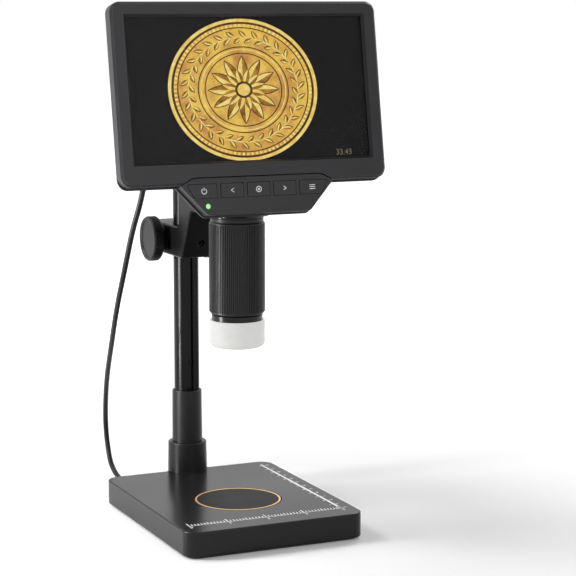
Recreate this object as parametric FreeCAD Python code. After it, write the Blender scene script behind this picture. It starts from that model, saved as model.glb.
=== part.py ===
import FreeCAD, Part
import math
import os

# Desk microscope with a seven inch screen on a rack and pinion column, standing on a weighing base.
# Millimetres. X to the right, Y to the back, Z up; the origin is on the table under the base's centre.

V = FreeCAD.Vector
os.makedirs("parts", exist_ok=True)

# Clearances
fit_gap = 0.15          # assembled parts that do not move, per side
run_gap = 0.08          # turning and sliding fits, per side
slide_gap = 0.06        # carriage on the column, per side
pass_gap = 0.35         # parts that move past each other
end_gap = 0.3           # end play of the turning parts
flange_gap = 0.08       # key flanges under the panel

# Base
base_width = 118.0
base_depth = 150.0
base_top_z = 17.0
base_corner_r = 9.0
base_wall = 2.6
base_roof = 3.0
base_skirt_z = 1.2      # lower edge of the shell
base_edge_r = 0.8
base_skirt_r = 1.0
lug_fillet_r = 4.0
pad_thickness = 1.6
pad_inset = 3.2
plate_thickness = 3.0
boss_r = 3.6
pillar_r = 11.5
screw_r = 1.5
screw_head_r = 2.8
screw_head_h = 1.8
screw_recess_r = 1.2
screw_recess = 0.9
thread_end = 2.0        # blind end left past a screw

# Weighing pan and what it stands on
pan_y = -11.8
pan_r = 27.5
pan_gap = 0.45
pan_thickness = 1.5
pan_chamfer = 0.5
carrier_r = 21.0
carrier_thickness = 1.4
carrier_boss_r = 3.9
carrier_hole_r = 4.6
carrier_hole_ring = 12.5
carrier_holes = 6
cell_length = 60.0
cell_width = 12.0
cell_height = 6.0
cell_end = 8.0          # from the bar's end to its screw
cell_lift = 1.0
cell_seat = 16.0        # length of the foot under the fixed end
cell_window = 7.0       # from the bar's middle to a window
cell_skin = 0.9
cell_slot = 1.6
board_lift = 1.6
board_thickness = 1.6
board_post_r = 2.2
scale_board_x = (-34.0, 2.0)
scale_board_y = (38.0, 58.0)
board_border = 4.0

# Column with its sleeves
column_y = 75.2
column_r = 8.4
column_flat = 5.9       # from the axis to the front and rear flats
groove_depth = 2.0      # guide groove in the front flat
column_top_z = 250.0
socket_wall = 4.75
socket_draft = 0.35
socket_top_z = 36.9
socket_floor = 3.0
collar_wall = 1.7
collar_draft = 0.25
collar_top_z = 72.2
rim_chamfer = 0.5
bolt_r = 4.0
bolt_head_r = 6.5
bolt_head_h = 5.0
bolt_recess_r = 3.0
bolt_recess = 2.6
bolt_top_z = 46.0
cap_overhang = 1.0
cap_height = 4.0
cap_chamfer = 1.5
cap_peg_r = 1.8
cap_peg_depth = 9.0
cap_peg_front = 1.2     # the peg stands between the groove and the rack's slot

# Rack in the column's slot, and the pinion
slot_width = 4.7
slot_depth = 4.5
module = 0.8
pinion_teeth = 12
pressure_angle = math.radians(20.0)
backlash = 0.1
flank_steps = 4
rack_stop_height = 5.3
rack_stop_recess = 0.4
rack_top_inset = 1.0
rack_screw_r = 1.5
rack_screw_head_r = 2.7
rack_screw_sink = 2.3   # from the guide groove's floor to the screw's seat
rack_screw_recess = 0.3
rack_screw_inset = 14.0
rack_thread = 2.0

# Carriage casting
block_wall = 3.6
block_bottom_z = 163.5
block_height = 20.0
block_tail = 26.0       # from the pinion's axis to the block's back
block_corner_r = 5.0
pocket_wall = 3.5       # walls of the pocket under the tail
arm_rear_y = 59.7
arm_foot_y = 53.5
arm_knee_y = 36.1
arm_under_z = 196.0
arm_height = 26.0
arm_end_y = 12.5
arm_shoulder = 13.0
arm_corner_r = 3.0
casting_chamfer = 0.8
hub_r = 8.5
hub_length = 2.0
pinion_z = 173.5
shaft_r = 3.0
bush_step = 0.6         # the bushes are this much below the pitch circle
pinion_width = 4.0
cavity_side = 0.5
grub_r = 2.5
grub_hex_r = 1.3
grub_inset = 2.5        # behind the arm's sloping face
pad_r = 1.9
pad_length = 4.0
arm_bolt_r = 2.0
arm_bolt_head_r = 3.5
arm_bolt_head_h = 3.6
arm_bolt_hex_r = 1.6
arm_bolt_grip = 15.0
arm_bolt_x = 7.0
arm_bolt_low = 14.0     # above the arm's underside
arm_bolt_high = 22.0

# Focus knobs
knob_r = 14.85
knob_width = 7.0
knob_neck_r = 8.0
knob_neck = 2.1
knob_ribs = 64
knob_rib_depth = 0.45
knob_band = 0.9
knob_dish_r = 12.9
knob_dish = 0.9
knob_bore = 5.5

# Screen head: its face plane leans back, u to the right, v up the face, w out of the face
tilt_deg = 9.7
face_y = -45.8          # where the face plane meets the head's lower edge
face_z = 220.0
window_width = 155.0
window_height = 87.0
window_bevel = 1.5
border_side = 9.5
border_low = 15.2
border_high = 9.0
head_corner_r = 6.5
front_chamfer = 1.5
head_wall = 2.2
bezel_depth = 7.5
bezel_lip = 1.4         # the rear cover's lip shows this far below the bezel
bezel_boss_r = 2.4
bezel_boss_inset = 2.6
bezel_boss_low = 14.0
cover_flange = 2.5
cover_edge_r = 1.2
cover_screw_r = 1.1
cover_screw_head_r = 2.1
cover_screw_head_h = 1.2
cover_screw_grip = 3.5
glass_thickness = 1.2
glass_side = 1.5        # the glass reaches this far past the window's sides
glass_border = 3.0      # and this far past its ends
lcd_thickness = 3.6
raise_side = 11.0       # from the head's sides to the raised middle of the rear cover
raise_low_v = 12.0
raise_depth = 10.0
raise_taper = 3.0
raise_corner_r = 8.0
neck_half = 25.0
neck_corner_r = 5.0
neck_lift = 4.0         # the neck ends this far above the tongue's foot
vent_count = 9
vent_pitch = 5.0
vent_width = 1.6
vent_length = 27.0
electronics_gap = 1.0

# Key tongue below the bezel
tongue_top_half = 42.0
tongue_top_v = 5.5
tongue_step_half = 50.5
tongue_step_v = 1.2
tongue_low_half = 33.6
tongue_low_v = -17.2
tongue_radii = (4.5, 1.6, 9.0)
tongue_recess = 0.4
tongue_plate = 1.6
tongue_wall = 1.8
tongue_gap = 0.35
tongue_chamfer = 0.5
tongue_rim = 1.1        # the rear cover's rim shows this far round the tongue
arch_wall = 1.4
key_pitch = 17.3
key_width = 14.6
key_height = 8.3
key_v = -2.6
key_corner_r = 0.8
key_chamfer = 0.25
end_key_inner = 27.4
end_key_top = 46.0
end_key_low = 41.6
key_proud = 0.4
key_flange = 0.7
key_flange_thickness = 0.8
key_stem_r = 1.6
key_stem = 0.9
key_travel = 0.5
key_board_thickness = 1.0
switch_size = 6.0
switch_height = 1.4
switch_cap_r = 1.4
switch_cap = 0.5
led_u = -33.6
led_v = -11.7
led_r = 1.5
led_proud = 0.1

# Camera housing behind the screen, and the barrel below it
housing_half = 21.0
housing_bottom_z = 203.0
housing_top_z = 246.0
housing_wall = 2.4
housing_corner_r = 4.2
housing_slope = 12.0
sensor_half = 4.6
camera_board_half = 13.0
camera_post_r = 1.8
barrel_y = pan_y
tube_bore_r = 12.5
tube_wall = 1.5
sleeve_wall = 1.35
ring_wall = 2.1
ring_rib_depth = 0.55
ring_ribs = 88
ring_bottom_z = 136.7
ring_top_z = 196.7
ring_band = 1.4
ring_neck = 2.0         # smooth neck at the ring's top
ring_neck_step = 0.9
ring_shoulder = 1.0
sleeve_inset = 1.2
flange_z = 198.3
flange_width = 3.5
flange_step = 0.9
flange_screw_r = 0.9
flange_head_r = 1.7
flange_head_h = 1.3
nose_step = 1.5
nose_bottom_z = 132.6
spigot_step = 0.8
spigot_length = 4.2
spigot_wall = 1.3
lamp_board_thickness = 1.2
lamp_board_bore_r = 7.5
lamp_count = 8
lamp_size = 2.8
lamp_height = 0.9
cap_side_wall = 2.0
cap_bottom_z = 115.6
cap_wall = 1.6
cap_mouth_r = 11.5
cap_round_r = 3.4
cell_low_z = 152.0
cell_high_z = 176.0
cell_wall = 2.2
lens_inset = 4.0
lens_rim = 1.0
lens_bulge = 1.4
focus_travel = 2.5
focus_turn = math.radians(135.0)
groove_steps = 20       # level steps from the middle of the helix to either end
key_pin_r = 1.0

# Cord from the head to the base
cord_r = 1.7
plug_inset = 8.6        # from the side of the raised part to the plug
plug_length = 8.0
plug_relief = 5.5
plug_relief_root = 1.6  # the relief starts this far inside the mould
plug_relief_turn = math.radians(38.0)
relief_root_r = 2.6
relief_wall = 0.35
plug_depth = 15.0
plug_half = (4.15, 1.25)
plug_seat = 5.2
relief_x = -40.0
relief_z = 8.6
relief_neck_r = 3.2
relief_anchor = 1.6
relief_step = 0.7
relief_length = 13.0

# Derived places
base_plate_low = pad_thickness
base_plate_high = pad_thickness + plate_thickness
roof_low_z = base_top_z - base_roof
pan_low_z = base_top_z - pan_thickness
cell_low = base_plate_high + cell_lift
cell_high = cell_low + cell_height
free_screw_x = cell_end - cell_length / 2
board_low_z = base_plate_high + board_lift
socket_r = column_r + socket_wall
collar_r = column_r + collar_wall
lug_r = socket_r + rim_chamfer / 10
column_cap_r = column_r + cap_overhang
column_front_y = column_y - column_flat
groove_floor_y = column_front_y + groove_depth
rack_pitch_y = column_y + column_flat
slot_floor_y = rack_pitch_y - slot_depth
slot_low_z = collar_top_z
pinion_r = module * pinion_teeth / 2.0
pinion_y = rack_pitch_y + pinion_r
rack_pitch = math.pi * module
bush_r = pinion_r - bush_step
block_half = column_r + block_wall
block_top_z = block_bottom_z + block_height
block_back_y = pinion_y + block_tail
arm_top_z = arm_under_z + arm_height
grub_z = block_bottom_z + block_height / 2
arm_slope = (arm_knee_y - arm_foot_y) / (arm_under_z - block_bottom_z)
hub_face_x = block_half + hub_length
tilt = math.radians(tilt_deg)
head_half = window_width / 2 + border_side
head_height = border_low + window_height + border_high
window_v = border_low + window_height / 2
cover_depth = bezel_depth + cover_flange
back_depth = cover_depth + raise_depth
back_inner = -back_depth + head_wall
raise_half = head_half - raise_side
raise_high_v = head_height - raise_side
neck_low_v = tongue_low_v + neck_lift
cord_exit_u = plug_inset - raise_half
tube_r = tube_bore_r + tube_wall
sleeve_r = tube_r + run_gap + sleeve_wall
ring_r = sleeve_r + ring_wall
flange_collar_r = ring_r - flange_step
flange_r = ring_r + flange_width
nose_r = ring_r - nose_step
spigot_r = nose_r - spigot_step
lamp_board_r = spigot_r - spigot_wall - fit_gap
cap_outer_r = spigot_r + fit_gap + cap_side_wall
tube_low_z = ring_bottom_z - end_gap
pin_z = (cell_low_z + cell_high_z) / 2
key_names = ("power", "left", "select", "right", "menu")


def save(shape, node):
    """Write one sub-part, after checking that its solids are sound."""
    solids = shape.Solids
    sound = shape.isValid() and all(s.isValid() and s.Volume > 0 for s in solids)
    print("%-16s solids %2d  volume %9.1f  %s" % (node, len(solids), shape.Volume, "ok" if sound else "BAD"))
    shape.exportStep("parts/%s.step" % node)


def group(solids):
    return Part.makeCompound(solids)


def box(x, y, z):
    """A box from three (low, high) pairs."""
    return Part.makeBox(x[1] - x[0], y[1] - y[0], z[1] - z[0], V(x[0], y[0], z[0]))


def rod(r, start, end):
    """A cylinder between two points."""
    along = end - start
    return Part.makeCylinder(r, along.Length, start, along)


def upright(r, low, high, x=0.0, y=0.0):
    return rod(r, V(x, y, low), V(x, y, high))


def revolve(profile, x=0.0, y=0.0):
    """A solid of revolution about a vertical axis, from (radius, z) points."""
    points = [V(r, 0, z) for r, z in profile]
    wire = Part.makePolygon(points + [points[0]])
    solid = Part.Face(wire).revolve(V(0, 0, 0), V(0, 0, 1), 360)
    solid.translate(V(x, y, 0))
    return solid


def rounded_edges(points, radii, closed):
    """Straight runs joined by tangent arcs; a radius of 0 leaves a sharp corner."""
    corners = []
    last = len(points) - 1
    for i, corner in enumerate(points):
        if radii[i] == 0 or (not closed and i in (0, last)):
            corners.append((corner, None, corner))
            continue
        before = (points[i - 1] - corner).normalize()
        after = (points[(i + 1) % len(points)] - corner).normalize()
        half = before.getAngle(after) / 2.0
        back = radii[i] / math.tan(half)
        inward = (before + after).normalize()
        middle = corner + inward * (radii[i] / math.sin(half) - radii[i])
        corners.append((corner + before * back, middle, corner + after * back))
    edges = []
    for i in range(len(points) if closed else last):
        start, middle, end = corners[i]
        if middle is not None:
            edges.append(Part.Arc(start, middle, end).toShape())
        following = corners[(i + 1) % len(points)][0]
        if end.distanceToPoint(following) > 1e-6:
            edges.append(Part.LineSegment(end, following).toShape())
    return edges


def plate(points, radii, low, high):
    """A flat plate between two heights, its outline a polygon with rounded corners."""
    outline = [V(x, y, low) for x, y in points]
    wire = Part.Wire(rounded_edges(outline, radii, True))
    return Part.Face(wire).extrude(V(0, 0, high - low))


def rounded_box(x, y, low, high, r):
    points = [(x[0], y[0]), (x[1], y[0]), (x[1], y[1]), (x[0], y[1])]
    return plate(points, [r] * 4, low, high)


def side_profile(points, radii, half):
    """A plate across X, its outline given in Y and Z."""
    outline = [V(-half, y, z) for y, z in points]
    wire = Part.Wire(rounded_edges(outline, radii, True))
    return Part.Face(wire).extrude(V(2 * half, 0, 0))


def ribbed_ring(outer_r, rib_depth, ribs, low, high):
    """An upright prism with fine straight ribs round it."""
    points = []
    step = 2 * math.pi / ribs
    root_r = outer_r - rib_depth
    for i in range(ribs):
        for share, r in ((0.0, outer_r), (0.45, outer_r), (0.6, root_r), (0.85, root_r)):
            angle = (i + share) * step
            points.append(V(r * math.cos(angle), r * math.sin(angle), low))
    wire = Part.makePolygon(points + [points[0]])
    return Part.Face(wire).extrude(V(0, 0, high - low))


def edges_where(shape, test):
    return [edge for edge in shape.Edges if test(edge)]


def all_at(edge, axis, value):
    """True when every vertex of an edge has this coordinate, and the edge lies in that plane."""
    box_low = getattr(edge.BoundBox, axis + "Min")
    box_high = getattr(edge.BoundBox, axis + "Max")
    return abs(box_low - value) < 1e-4 and abs(box_high - value) < 1e-4


def base_outline(inset, z):
    """The base's outline: a rounded rectangle with a round lug at the back under the column."""
    half_x = base_width / 2 - inset
    half_y = base_depth / 2 - inset
    corner = base_corner_r - inset
    r = lug_r - inset
    fillet = lug_fillet_r + inset
    centre_y = half_y + fillet
    centre_x = math.sqrt((r + fillet) ** 2 - (centre_y - column_y) ** 2)
    to_fillet = V(centre_x, centre_y - column_y, 0)
    on_lug = V(0, column_y, z) + to_fillet * (r / (r + fillet))
    toward = (V(centre_x, half_y, z) + on_lug) * 0.5 - V(centre_x, centre_y, z)
    middle = V(centre_x, centre_y, z) + toward.normalize() * fillet
    lug_back = V(0, column_y + r, z)
    right = [V(half_x, half_y, z), V(half_x, -half_y, z), V(-half_x, -half_y, z), V(-half_x, half_y, z)]
    start = V(centre_x, half_y, z)
    end = V(-centre_x, half_y, z)
    edges = rounded_edges([start] + right + [end], [0] + [corner] * 4 + [0], False)
    edges.append(Part.Arc(end, V(-middle.x, middle.y, z), V(-on_lug.x, on_lug.y, z)).toShape())
    edges.append(Part.Arc(V(-on_lug.x, on_lug.y, z), lug_back, on_lug).toShape())
    edges.append(Part.Arc(on_lug, middle, start).toShape())
    return Part.Wire(edges)


def base_slab(inset, low, high):
    return Part.Face(base_outline(inset, low)).extrude(V(0, 0, high - low))


def base_screw_places():
    """Three screws down each long side of the base."""
    x = base_width / 2 - base_wall - boss_r - 1.0
    y = base_depth / 2 - base_wall - boss_r - 1.0
    return [(side * x, row * y) for side in (-1, 1) for row in (-1, 0, 1)]


def column_section(grow, low, high):
    """The column's section, a round with a front and a rear flat, grown by a clearance."""
    r = column_r + grow
    flat = column_flat + grow
    solid = upright(r, low, high, 0, column_y)
    return solid.common(box((-r, r), (column_y - flat, column_y + flat), (low, high)))


def make_base():
    shell = base_slab(0, base_skirt_z, base_top_z)
    shell = shell.makeFillet(base_edge_r, edges_where(shell, lambda e: all_at(e, "Z", base_top_z)))
    shell = shell.makeFillet(base_skirt_r, edges_where(shell, lambda e: all_at(e, "Z", base_skirt_z)))
    hollow = base_slab(base_wall, base_skirt_z - 1, roof_low_z)
    posts = [upright(boss_r, base_plate_high, roof_low_z, x, y) for x, y in base_screw_places()]
    posts.append(upright(pillar_r, base_plate_high, roof_low_z, 0, column_y))
    shell = shell.cut(hollow.cut(posts))
    cuts = [upright(screw_r, base_plate_high - 1, roof_low_z - 1, x, y) for x, y in base_screw_places()]
    cuts.append(upright(pan_r + pan_gap, roof_low_z - 1, base_top_z + 1, 0, pan_y))
    cuts.append(upright(bolt_r + fit_gap, 0, base_top_z + 1, 0, column_y))
    cuts.append(upright(bolt_head_r + fit_gap, 0, base_plate_high + fit_gap + bolt_head_h, 0, column_y))
    cuts.append(rod(relief_neck_r + fit_gap, V(relief_x, base_depth / 2 - base_wall - 1, relief_z),
                    V(relief_x, base_depth / 2 + 1, relief_z)))
    save(shell.cut(cuts), "base_shell")

    bottom = base_slab(base_wall + fit_gap, base_plate_low, base_plate_high)
    cuts = []
    for x, y in base_screw_places():
        cuts.append(upright(screw_r + fit_gap, 0, base_plate_high + 1, x, y))
        cuts.append(upright(screw_head_r + fit_gap, 0, base_plate_low + screw_head_h, x, y))
    for x in cell_fixed_screws():
        cuts.append(upright(screw_r + fit_gap, 0, base_plate_high + 1, x, pan_y))
        cuts.append(upright(screw_head_r + fit_gap, 0, base_plate_low + screw_head_h, x, pan_y))
    cuts.append(upright(screw_head_r + pass_gap, 0, base_plate_high + 1, free_screw_x, pan_y))
    bottom = bottom.cut(cuts)
    posts = [upright(board_post_r, base_plate_high, board_low_z, x, y) for x, y in board_post_places()]
    save(bottom.fuse(posts), "base_plate")

    pad = base_slab(pad_inset, 0, pad_thickness)
    pad = pad.cut([upright(screw_head_r + pass_gap, -1, pad_thickness + 1, x, y)
                   for x, y in base_screw_places()])
    save(pad, "rubber_pad")

    screws = []
    for x, y in base_screw_places():
        head = upright(screw_head_r, base_plate_low, base_plate_low + screw_head_h, x, y)
        drive = upright(screw_recess_r, base_plate_low - 1, base_plate_low + screw_recess, x, y)
        shank = upright(screw_r, base_plate_low + screw_head_h, roof_low_z - thread_end, x, y)
        screws.append(head.cut(drive).fuse(shank))
    save(group(screws), "base_screws")


def cell_fixed_screws():
    """Two screws hold the fixed end of the load cell, on its right."""
    middle = (cell_length - cell_seat) / 2
    return (middle - cell_seat / 4, middle + cell_seat / 4)


def board_post_places():
    return [(x, y) for x in scale_board_x for y in scale_board_y]


def make_scale():
    """The load cell under the pan, the pan with its carrier, and the scale's board."""
    half = cell_length / 2
    depth = (pan_y - cell_width / 2, pan_y + cell_width / 2)
    bar = box((-half, half), depth, (cell_low, cell_high))
    seat = box((half - cell_seat, half), depth, (base_plate_high, cell_low))
    # The strain gauges sit over two round windows joined by a slot, so that the bar bends evenly.
    middle_z = (cell_low + cell_high) / 2
    front = pan_y - cell_width
    back = pan_y + cell_width
    slot_z = (middle_z - cell_slot / 2, middle_z + cell_slot / 2)
    cuts = [box((-cell_window, cell_window), (front, back), slot_z)]
    for x in (-cell_window, cell_window):
        cuts.append(rod(cell_height / 2 - cell_skin, V(x, front, middle_z), V(x, back, middle_z)))
    for x in cell_fixed_screws() + (free_screw_x,):
        cuts.append(upright(screw_r + fit_gap, 0, cell_high + 1, x, pan_y))
    save(bar.fuse(seat).cut(cuts), "load_cell")

    screws = []
    for x in cell_fixed_screws():
        head = upright(screw_head_r, base_plate_low, base_plate_low + screw_head_h, x, pan_y)
        screws.append(head.fuse(upright(screw_r, base_plate_low + screw_head_h, cell_high, x, pan_y)))
    save(group(screws), "cell_screws")

    pan = revolve([(0, pan_low_z), (pan_r, pan_low_z), (pan_r, base_top_z - pan_chamfer),
                   (pan_r - pan_chamfer, base_top_z), (0, base_top_z)], 0, pan_y)
    save(pan, "weighing_pan")

    carrier_low = pan_low_z - carrier_thickness
    disc = upright(carrier_r, carrier_low, pan_low_z, 0, pan_y)
    for i in range(carrier_holes):
        angle = 2 * math.pi * (i + 0.5) / carrier_holes
        x = carrier_hole_ring * math.cos(angle)
        y = pan_y + carrier_hole_ring * math.sin(angle)
        disc = disc.cut(upright(carrier_hole_r, carrier_low - 1, pan_low_z + 1, x, y))
    arm = box((free_screw_x, 0), (pan_y - carrier_boss_r, pan_y + carrier_boss_r), (carrier_low, pan_low_z))
    boss = upright(carrier_boss_r, cell_high, pan_low_z, free_screw_x, pan_y)
    thread_top = pan_low_z - screw_recess
    hole = upright(screw_r, 0, thread_top, free_screw_x, pan_y)
    save(disc.fuse([arm, boss]).cut(hole), "pan_carrier")

    head = upright(screw_head_r, cell_low - screw_head_h, cell_low, free_screw_x, pan_y)
    screw = head.fuse(upright(screw_r, cell_low, thread_top, free_screw_x, pan_y))
    recess = upright(screw_recess_r, 0, cell_low - screw_head_h + screw_recess, free_screw_x, pan_y)
    save(screw.cut(recess), "pan_screw")

    x = (scale_board_x[0] - board_border, scale_board_x[1] + board_border)
    y = (scale_board_y[0] - board_border, scale_board_y[1] + board_border)
    top = board_low_z + board_thickness
    board = rounded_box(x, y, board_low_z, top, board_border / 2)
    # Converter, oscillator and two sockets for the wires.
    chips = [chip(x[0] + 12, y[0] + 10, 8, 8, top, 1.2), chip(x[0] + 26, y[0] + 8, 6, 5, top, 1.0),
             chip(x[0] + 26, y[0] + 17, 8, 4, top, 2.6), chip(x[0] + 3, y[0] + 11, 7, 7, top, 3.4)]
    save(board.fuse(chips), "scale_board")


def chip(x, y, width, length, low, height):
    """A flat-sided part that stands on a board."""
    return box((x, x + width), (y, y + length), (low, low + height))


def sleeve(r, draft, low, high):
    """A slightly tapered sleeve for the column's foot, chamfered at its upper rim."""
    top_r = r - draft
    return revolve([(0, low), (r, low), (top_r, high - rim_chamfer), (top_r - rim_chamfer, high), (0, high)],
                   0, column_y)


def make_column():
    foot_z = base_top_z + socket_floor
    socket = sleeve(socket_r, socket_draft, base_top_z, socket_top_z)
    socket = socket.cut([column_section(run_gap, foot_z, socket_top_z + 1),
                         upright(bolt_r + fit_gap, base_top_z - 1, socket_top_z, 0, column_y)])
    save(socket, "column_socket")

    collar = sleeve(collar_r, collar_draft, socket_top_z, collar_top_z)
    save(collar.cut(column_section(run_gap, socket_top_z - 1, collar_top_z + 1)), "column_collar")

    column = column_section(0, foot_z, column_top_z)
    peg_y = column_y - cap_peg_front
    peg_low = column_top_z - cap_peg_depth
    slot_x = (-slot_width / 2, slot_width / 2)
    cuts = [box(slot_x, (slot_floor_y, rack_pitch_y + 1), (slot_low_z, column_top_z + 1)),
            box(slot_x, (column_front_y - 1, groove_floor_y), (slot_low_z, column_top_z + 1)),
            upright(bolt_r + run_gap, foot_z - 1, bolt_top_z + 1, 0, column_y),
            upright(cap_peg_r + run_gap, peg_low - 1, column_top_z + 1, 0, peg_y)]
    for z in rack_screw_heights():
        cuts.append(rod(rack_screw_r + run_gap, V(0, column_front_y - 1, z), V(0, slot_floor_y + 1, z)))
        cuts.append(rod(rack_screw_head_r + run_gap, V(0, column_front_y - 1, z),
                        V(0, groove_floor_y + rack_screw_sink, z)))
    save(column.cut(cuts), "column")

    head_z = base_plate_high + fit_gap
    bolt = upright(bolt_head_r, head_z, head_z + bolt_head_h, 0, column_y)
    bolt = bolt.cut(upright(bolt_recess_r, head_z - 1, head_z + bolt_recess, 0, column_y))
    save(bolt.fuse(upright(bolt_r, head_z + bolt_head_h, bolt_top_z, 0, column_y)), "column_bolt")

    top = column_top_z + cap_height
    cap = revolve([(0, column_top_z), (column_cap_r, column_top_z), (column_cap_r, top - cap_chamfer),
                   (column_cap_r - cap_chamfer, top), (0, top)], 0, column_y)
    save(cap.fuse(upright(cap_peg_r, peg_low, column_top_z, 0, peg_y)), "column_cap")


def rack_screw_heights():
    low = slot_low_z + rack_stop_height + rack_screw_inset
    return (low, column_top_z - rack_top_inset - rack_screw_inset)


def make_rack():
    """A straight rack: its teeth have flat flanks, and one tooth stands level with the pinion's axis."""
    tip_y = rack_pitch_y + module
    root_y = rack_pitch_y - 1.25 * module
    half_width = slot_width / 2 - run_gap
    low = slot_low_z + rack_stop_height
    high = column_top_z - rack_top_inset
    lean = math.tan(pressure_angle)
    half_pitch_line = rack_pitch / 4 - backlash / 2
    half_tip = half_pitch_line - module * lean
    half_root = half_pitch_line + 1.25 * module * lean
    first = math.ceil((low + half_root - pinion_z) / rack_pitch)
    last = math.floor((high - half_root - pinion_z) / rack_pitch)
    points = [(slot_floor_y, low), (root_y, low)]
    for i in range(first, last + 1):
        z = pinion_z + i * rack_pitch
        points += [(root_y, z - half_root), (tip_y, z - half_tip)]
        points += [(tip_y, z + half_tip), (root_y, z + half_root)]
    points += [(root_y, high), (slot_floor_y, high)]
    rack = side_profile(points, [0] * len(points), half_width)
    for z in rack_screw_heights():
        rack = rack.cut(rod(rack_screw_r, V(0, slot_floor_y - 1, z), V(0, slot_floor_y + rack_thread, z)))
    save(rack, "rack")

    stop = box((-half_width, half_width), (slot_floor_y, rack_pitch_y + rack_stop_recess), (slot_low_z, low))
    save(stop, "rack_stop")

    screws = []
    seat_y = groove_floor_y + rack_screw_sink
    head_y = groove_floor_y + rack_screw_recess
    for z in rack_screw_heights():
        head = rod(rack_screw_head_r, V(0, head_y, z), V(0, seat_y, z))
        head = head.cut(rod(screw_recess_r, V(0, head_y - 1, z), V(0, head_y + screw_recess, z)))
        screws.append(head.fuse(rod(rack_screw_r, V(0, seat_y, z), V(0, slot_floor_y + rack_thread, z))))
    save(group(screws), "rack_screws")


def arm_bolt_places():
    return [(x, arm_under_z + z) for x in (-arm_bolt_x, arm_bolt_x) for z in (arm_bolt_low, arm_bolt_high)]


def outside_corner(x, y, r, low, high):
    """What a vertical edge loses at the back of the casting when it is rounded."""
    side = 1 if x > 0 else -1
    corner = box((min(x - side * r, x + side), max(x - side * r, x + side)), (y - r, y + 1), (low, high))
    return corner.cut(upright(r, low, high, x - side * r, y - r))


def make_carriage():
    """The sliding casting: a block round the column, and the arm that carries the head."""
    points = [(arm_foot_y, block_bottom_z), (block_back_y, block_bottom_z), (block_back_y, block_top_z),
              (arm_rear_y, block_top_z), (arm_rear_y, arm_top_z - arm_shoulder),
              (arm_rear_y - arm_shoulder, arm_top_z), (arm_end_y, arm_top_z), (arm_end_y, arm_under_z),
              (arm_knee_y, arm_under_z)]
    radii = [2.0, 2.0, 2.0, 1.5, 6.0, 6.0, 0, 0, 2.5]
    casting = side_profile(points, radii, block_half)
    rims = edges_where(casting, lambda e: (all_at(e, "X", block_half) or all_at(e, "X", -block_half))
                       and not all_at(e, "Y", arm_end_y))
    casting = casting.makeChamfer(casting_chamfer, rims)
    casting = casting.fuse(rod(hub_r, V(-hub_face_x, pinion_y, pinion_z), V(hub_face_x, pinion_y, pinion_z)))
    cavity_half = pinion_width / 2 + cavity_side
    cavity_r = pinion_r + module + pass_gap
    channel_half = slot_width / 2 + cavity_side
    pocket_half = block_half - pocket_wall
    cuts = [column_section(slide_gap, block_bottom_z - 1, block_top_z + 1),
            box((-channel_half, channel_half), (rack_pitch_y - 1, rack_pitch_y + module + pass_gap),
                (block_bottom_z - 1, block_top_z + 1)),
            rod(bush_r + run_gap, V(-hub_face_x - 1, pinion_y, pinion_z),
                V(hub_face_x + 1, pinion_y, pinion_z)),
            rod(cavity_r, V(-cavity_half, pinion_y, pinion_z), V(cavity_half, pinion_y, pinion_z)),
            box((-cavity_half, cavity_half), (pinion_y - cavity_r, pinion_y + cavity_r),
                (block_bottom_z - 1, pinion_z)),
            box((-pocket_half, pocket_half), (pinion_y + cavity_r + pocket_wall, block_back_y - pocket_wall),
                (block_bottom_z - 1, block_top_z - pocket_wall))]

    # The tension screw presses a nylon pad into the column's guide groove.
    pad_end_y = groove_floor_y - flange_gap
    pad_y = pad_end_y - pad_length
    cuts.append(rod(grub_r + run_gap, V(0, arm_knee_y, grub_z), V(0, pad_y, grub_z)))
    cuts.append(rod(pad_r + run_gap, V(0, pad_y - 1, grub_z), V(0, column_y, grub_z)))
    for x in (-block_half, block_half):
        cuts.append(outside_corner(x, arm_rear_y, arm_corner_r, block_top_z + casting_chamfer, arm_top_z + 1))
        cuts.append(outside_corner(x, block_back_y, block_corner_r, block_bottom_z - 1, block_top_z + 1))
    for x, z in arm_bolt_places():
        cuts.append(rod(arm_bolt_r, V(x, arm_end_y - 1, z), V(x, arm_end_y + arm_bolt_grip, z)))
    save(casting.cut(cuts), "carriage")

    grub_y = arm_foot_y + arm_slope * (grub_z - block_bottom_z) + grub_inset
    save(rod(pad_r, V(0, pad_y, grub_z), V(0, pad_end_y, grub_z)), "friction_pad")
    grub = rod(grub_r, V(0, grub_y, grub_z), V(0, pad_y, grub_z))
    hexagon = rod(grub_hex_r, V(0, grub_y - 1, grub_z), V(0, grub_y + thread_end, grub_z))
    save(grub.cut(hexagon), "tension_screw")

    bolts = []
    seat_y = arm_end_y - housing_wall
    head_y = seat_y - arm_bolt_head_h
    for x, z in arm_bolt_places():
        head = rod(arm_bolt_head_r, V(x, head_y, z), V(x, seat_y, z))
        head = head.cut(rod(arm_bolt_hex_r, V(x, head_y - 1, z), V(x, head_y + thread_end, z)))
        bolts.append(head.fuse(rod(arm_bolt_r, V(x, seat_y, z), V(x, arm_end_y + arm_bolt_grip - 1, z))))
    save(group(bolts), "arm_bolts")


def involute(base_r, r):
    """Angle swept by the involute where it reaches this radius."""
    roll = math.sqrt(max(r * r / (base_r * base_r) - 1.0, 0.0))
    return roll - math.atan(roll)


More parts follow.
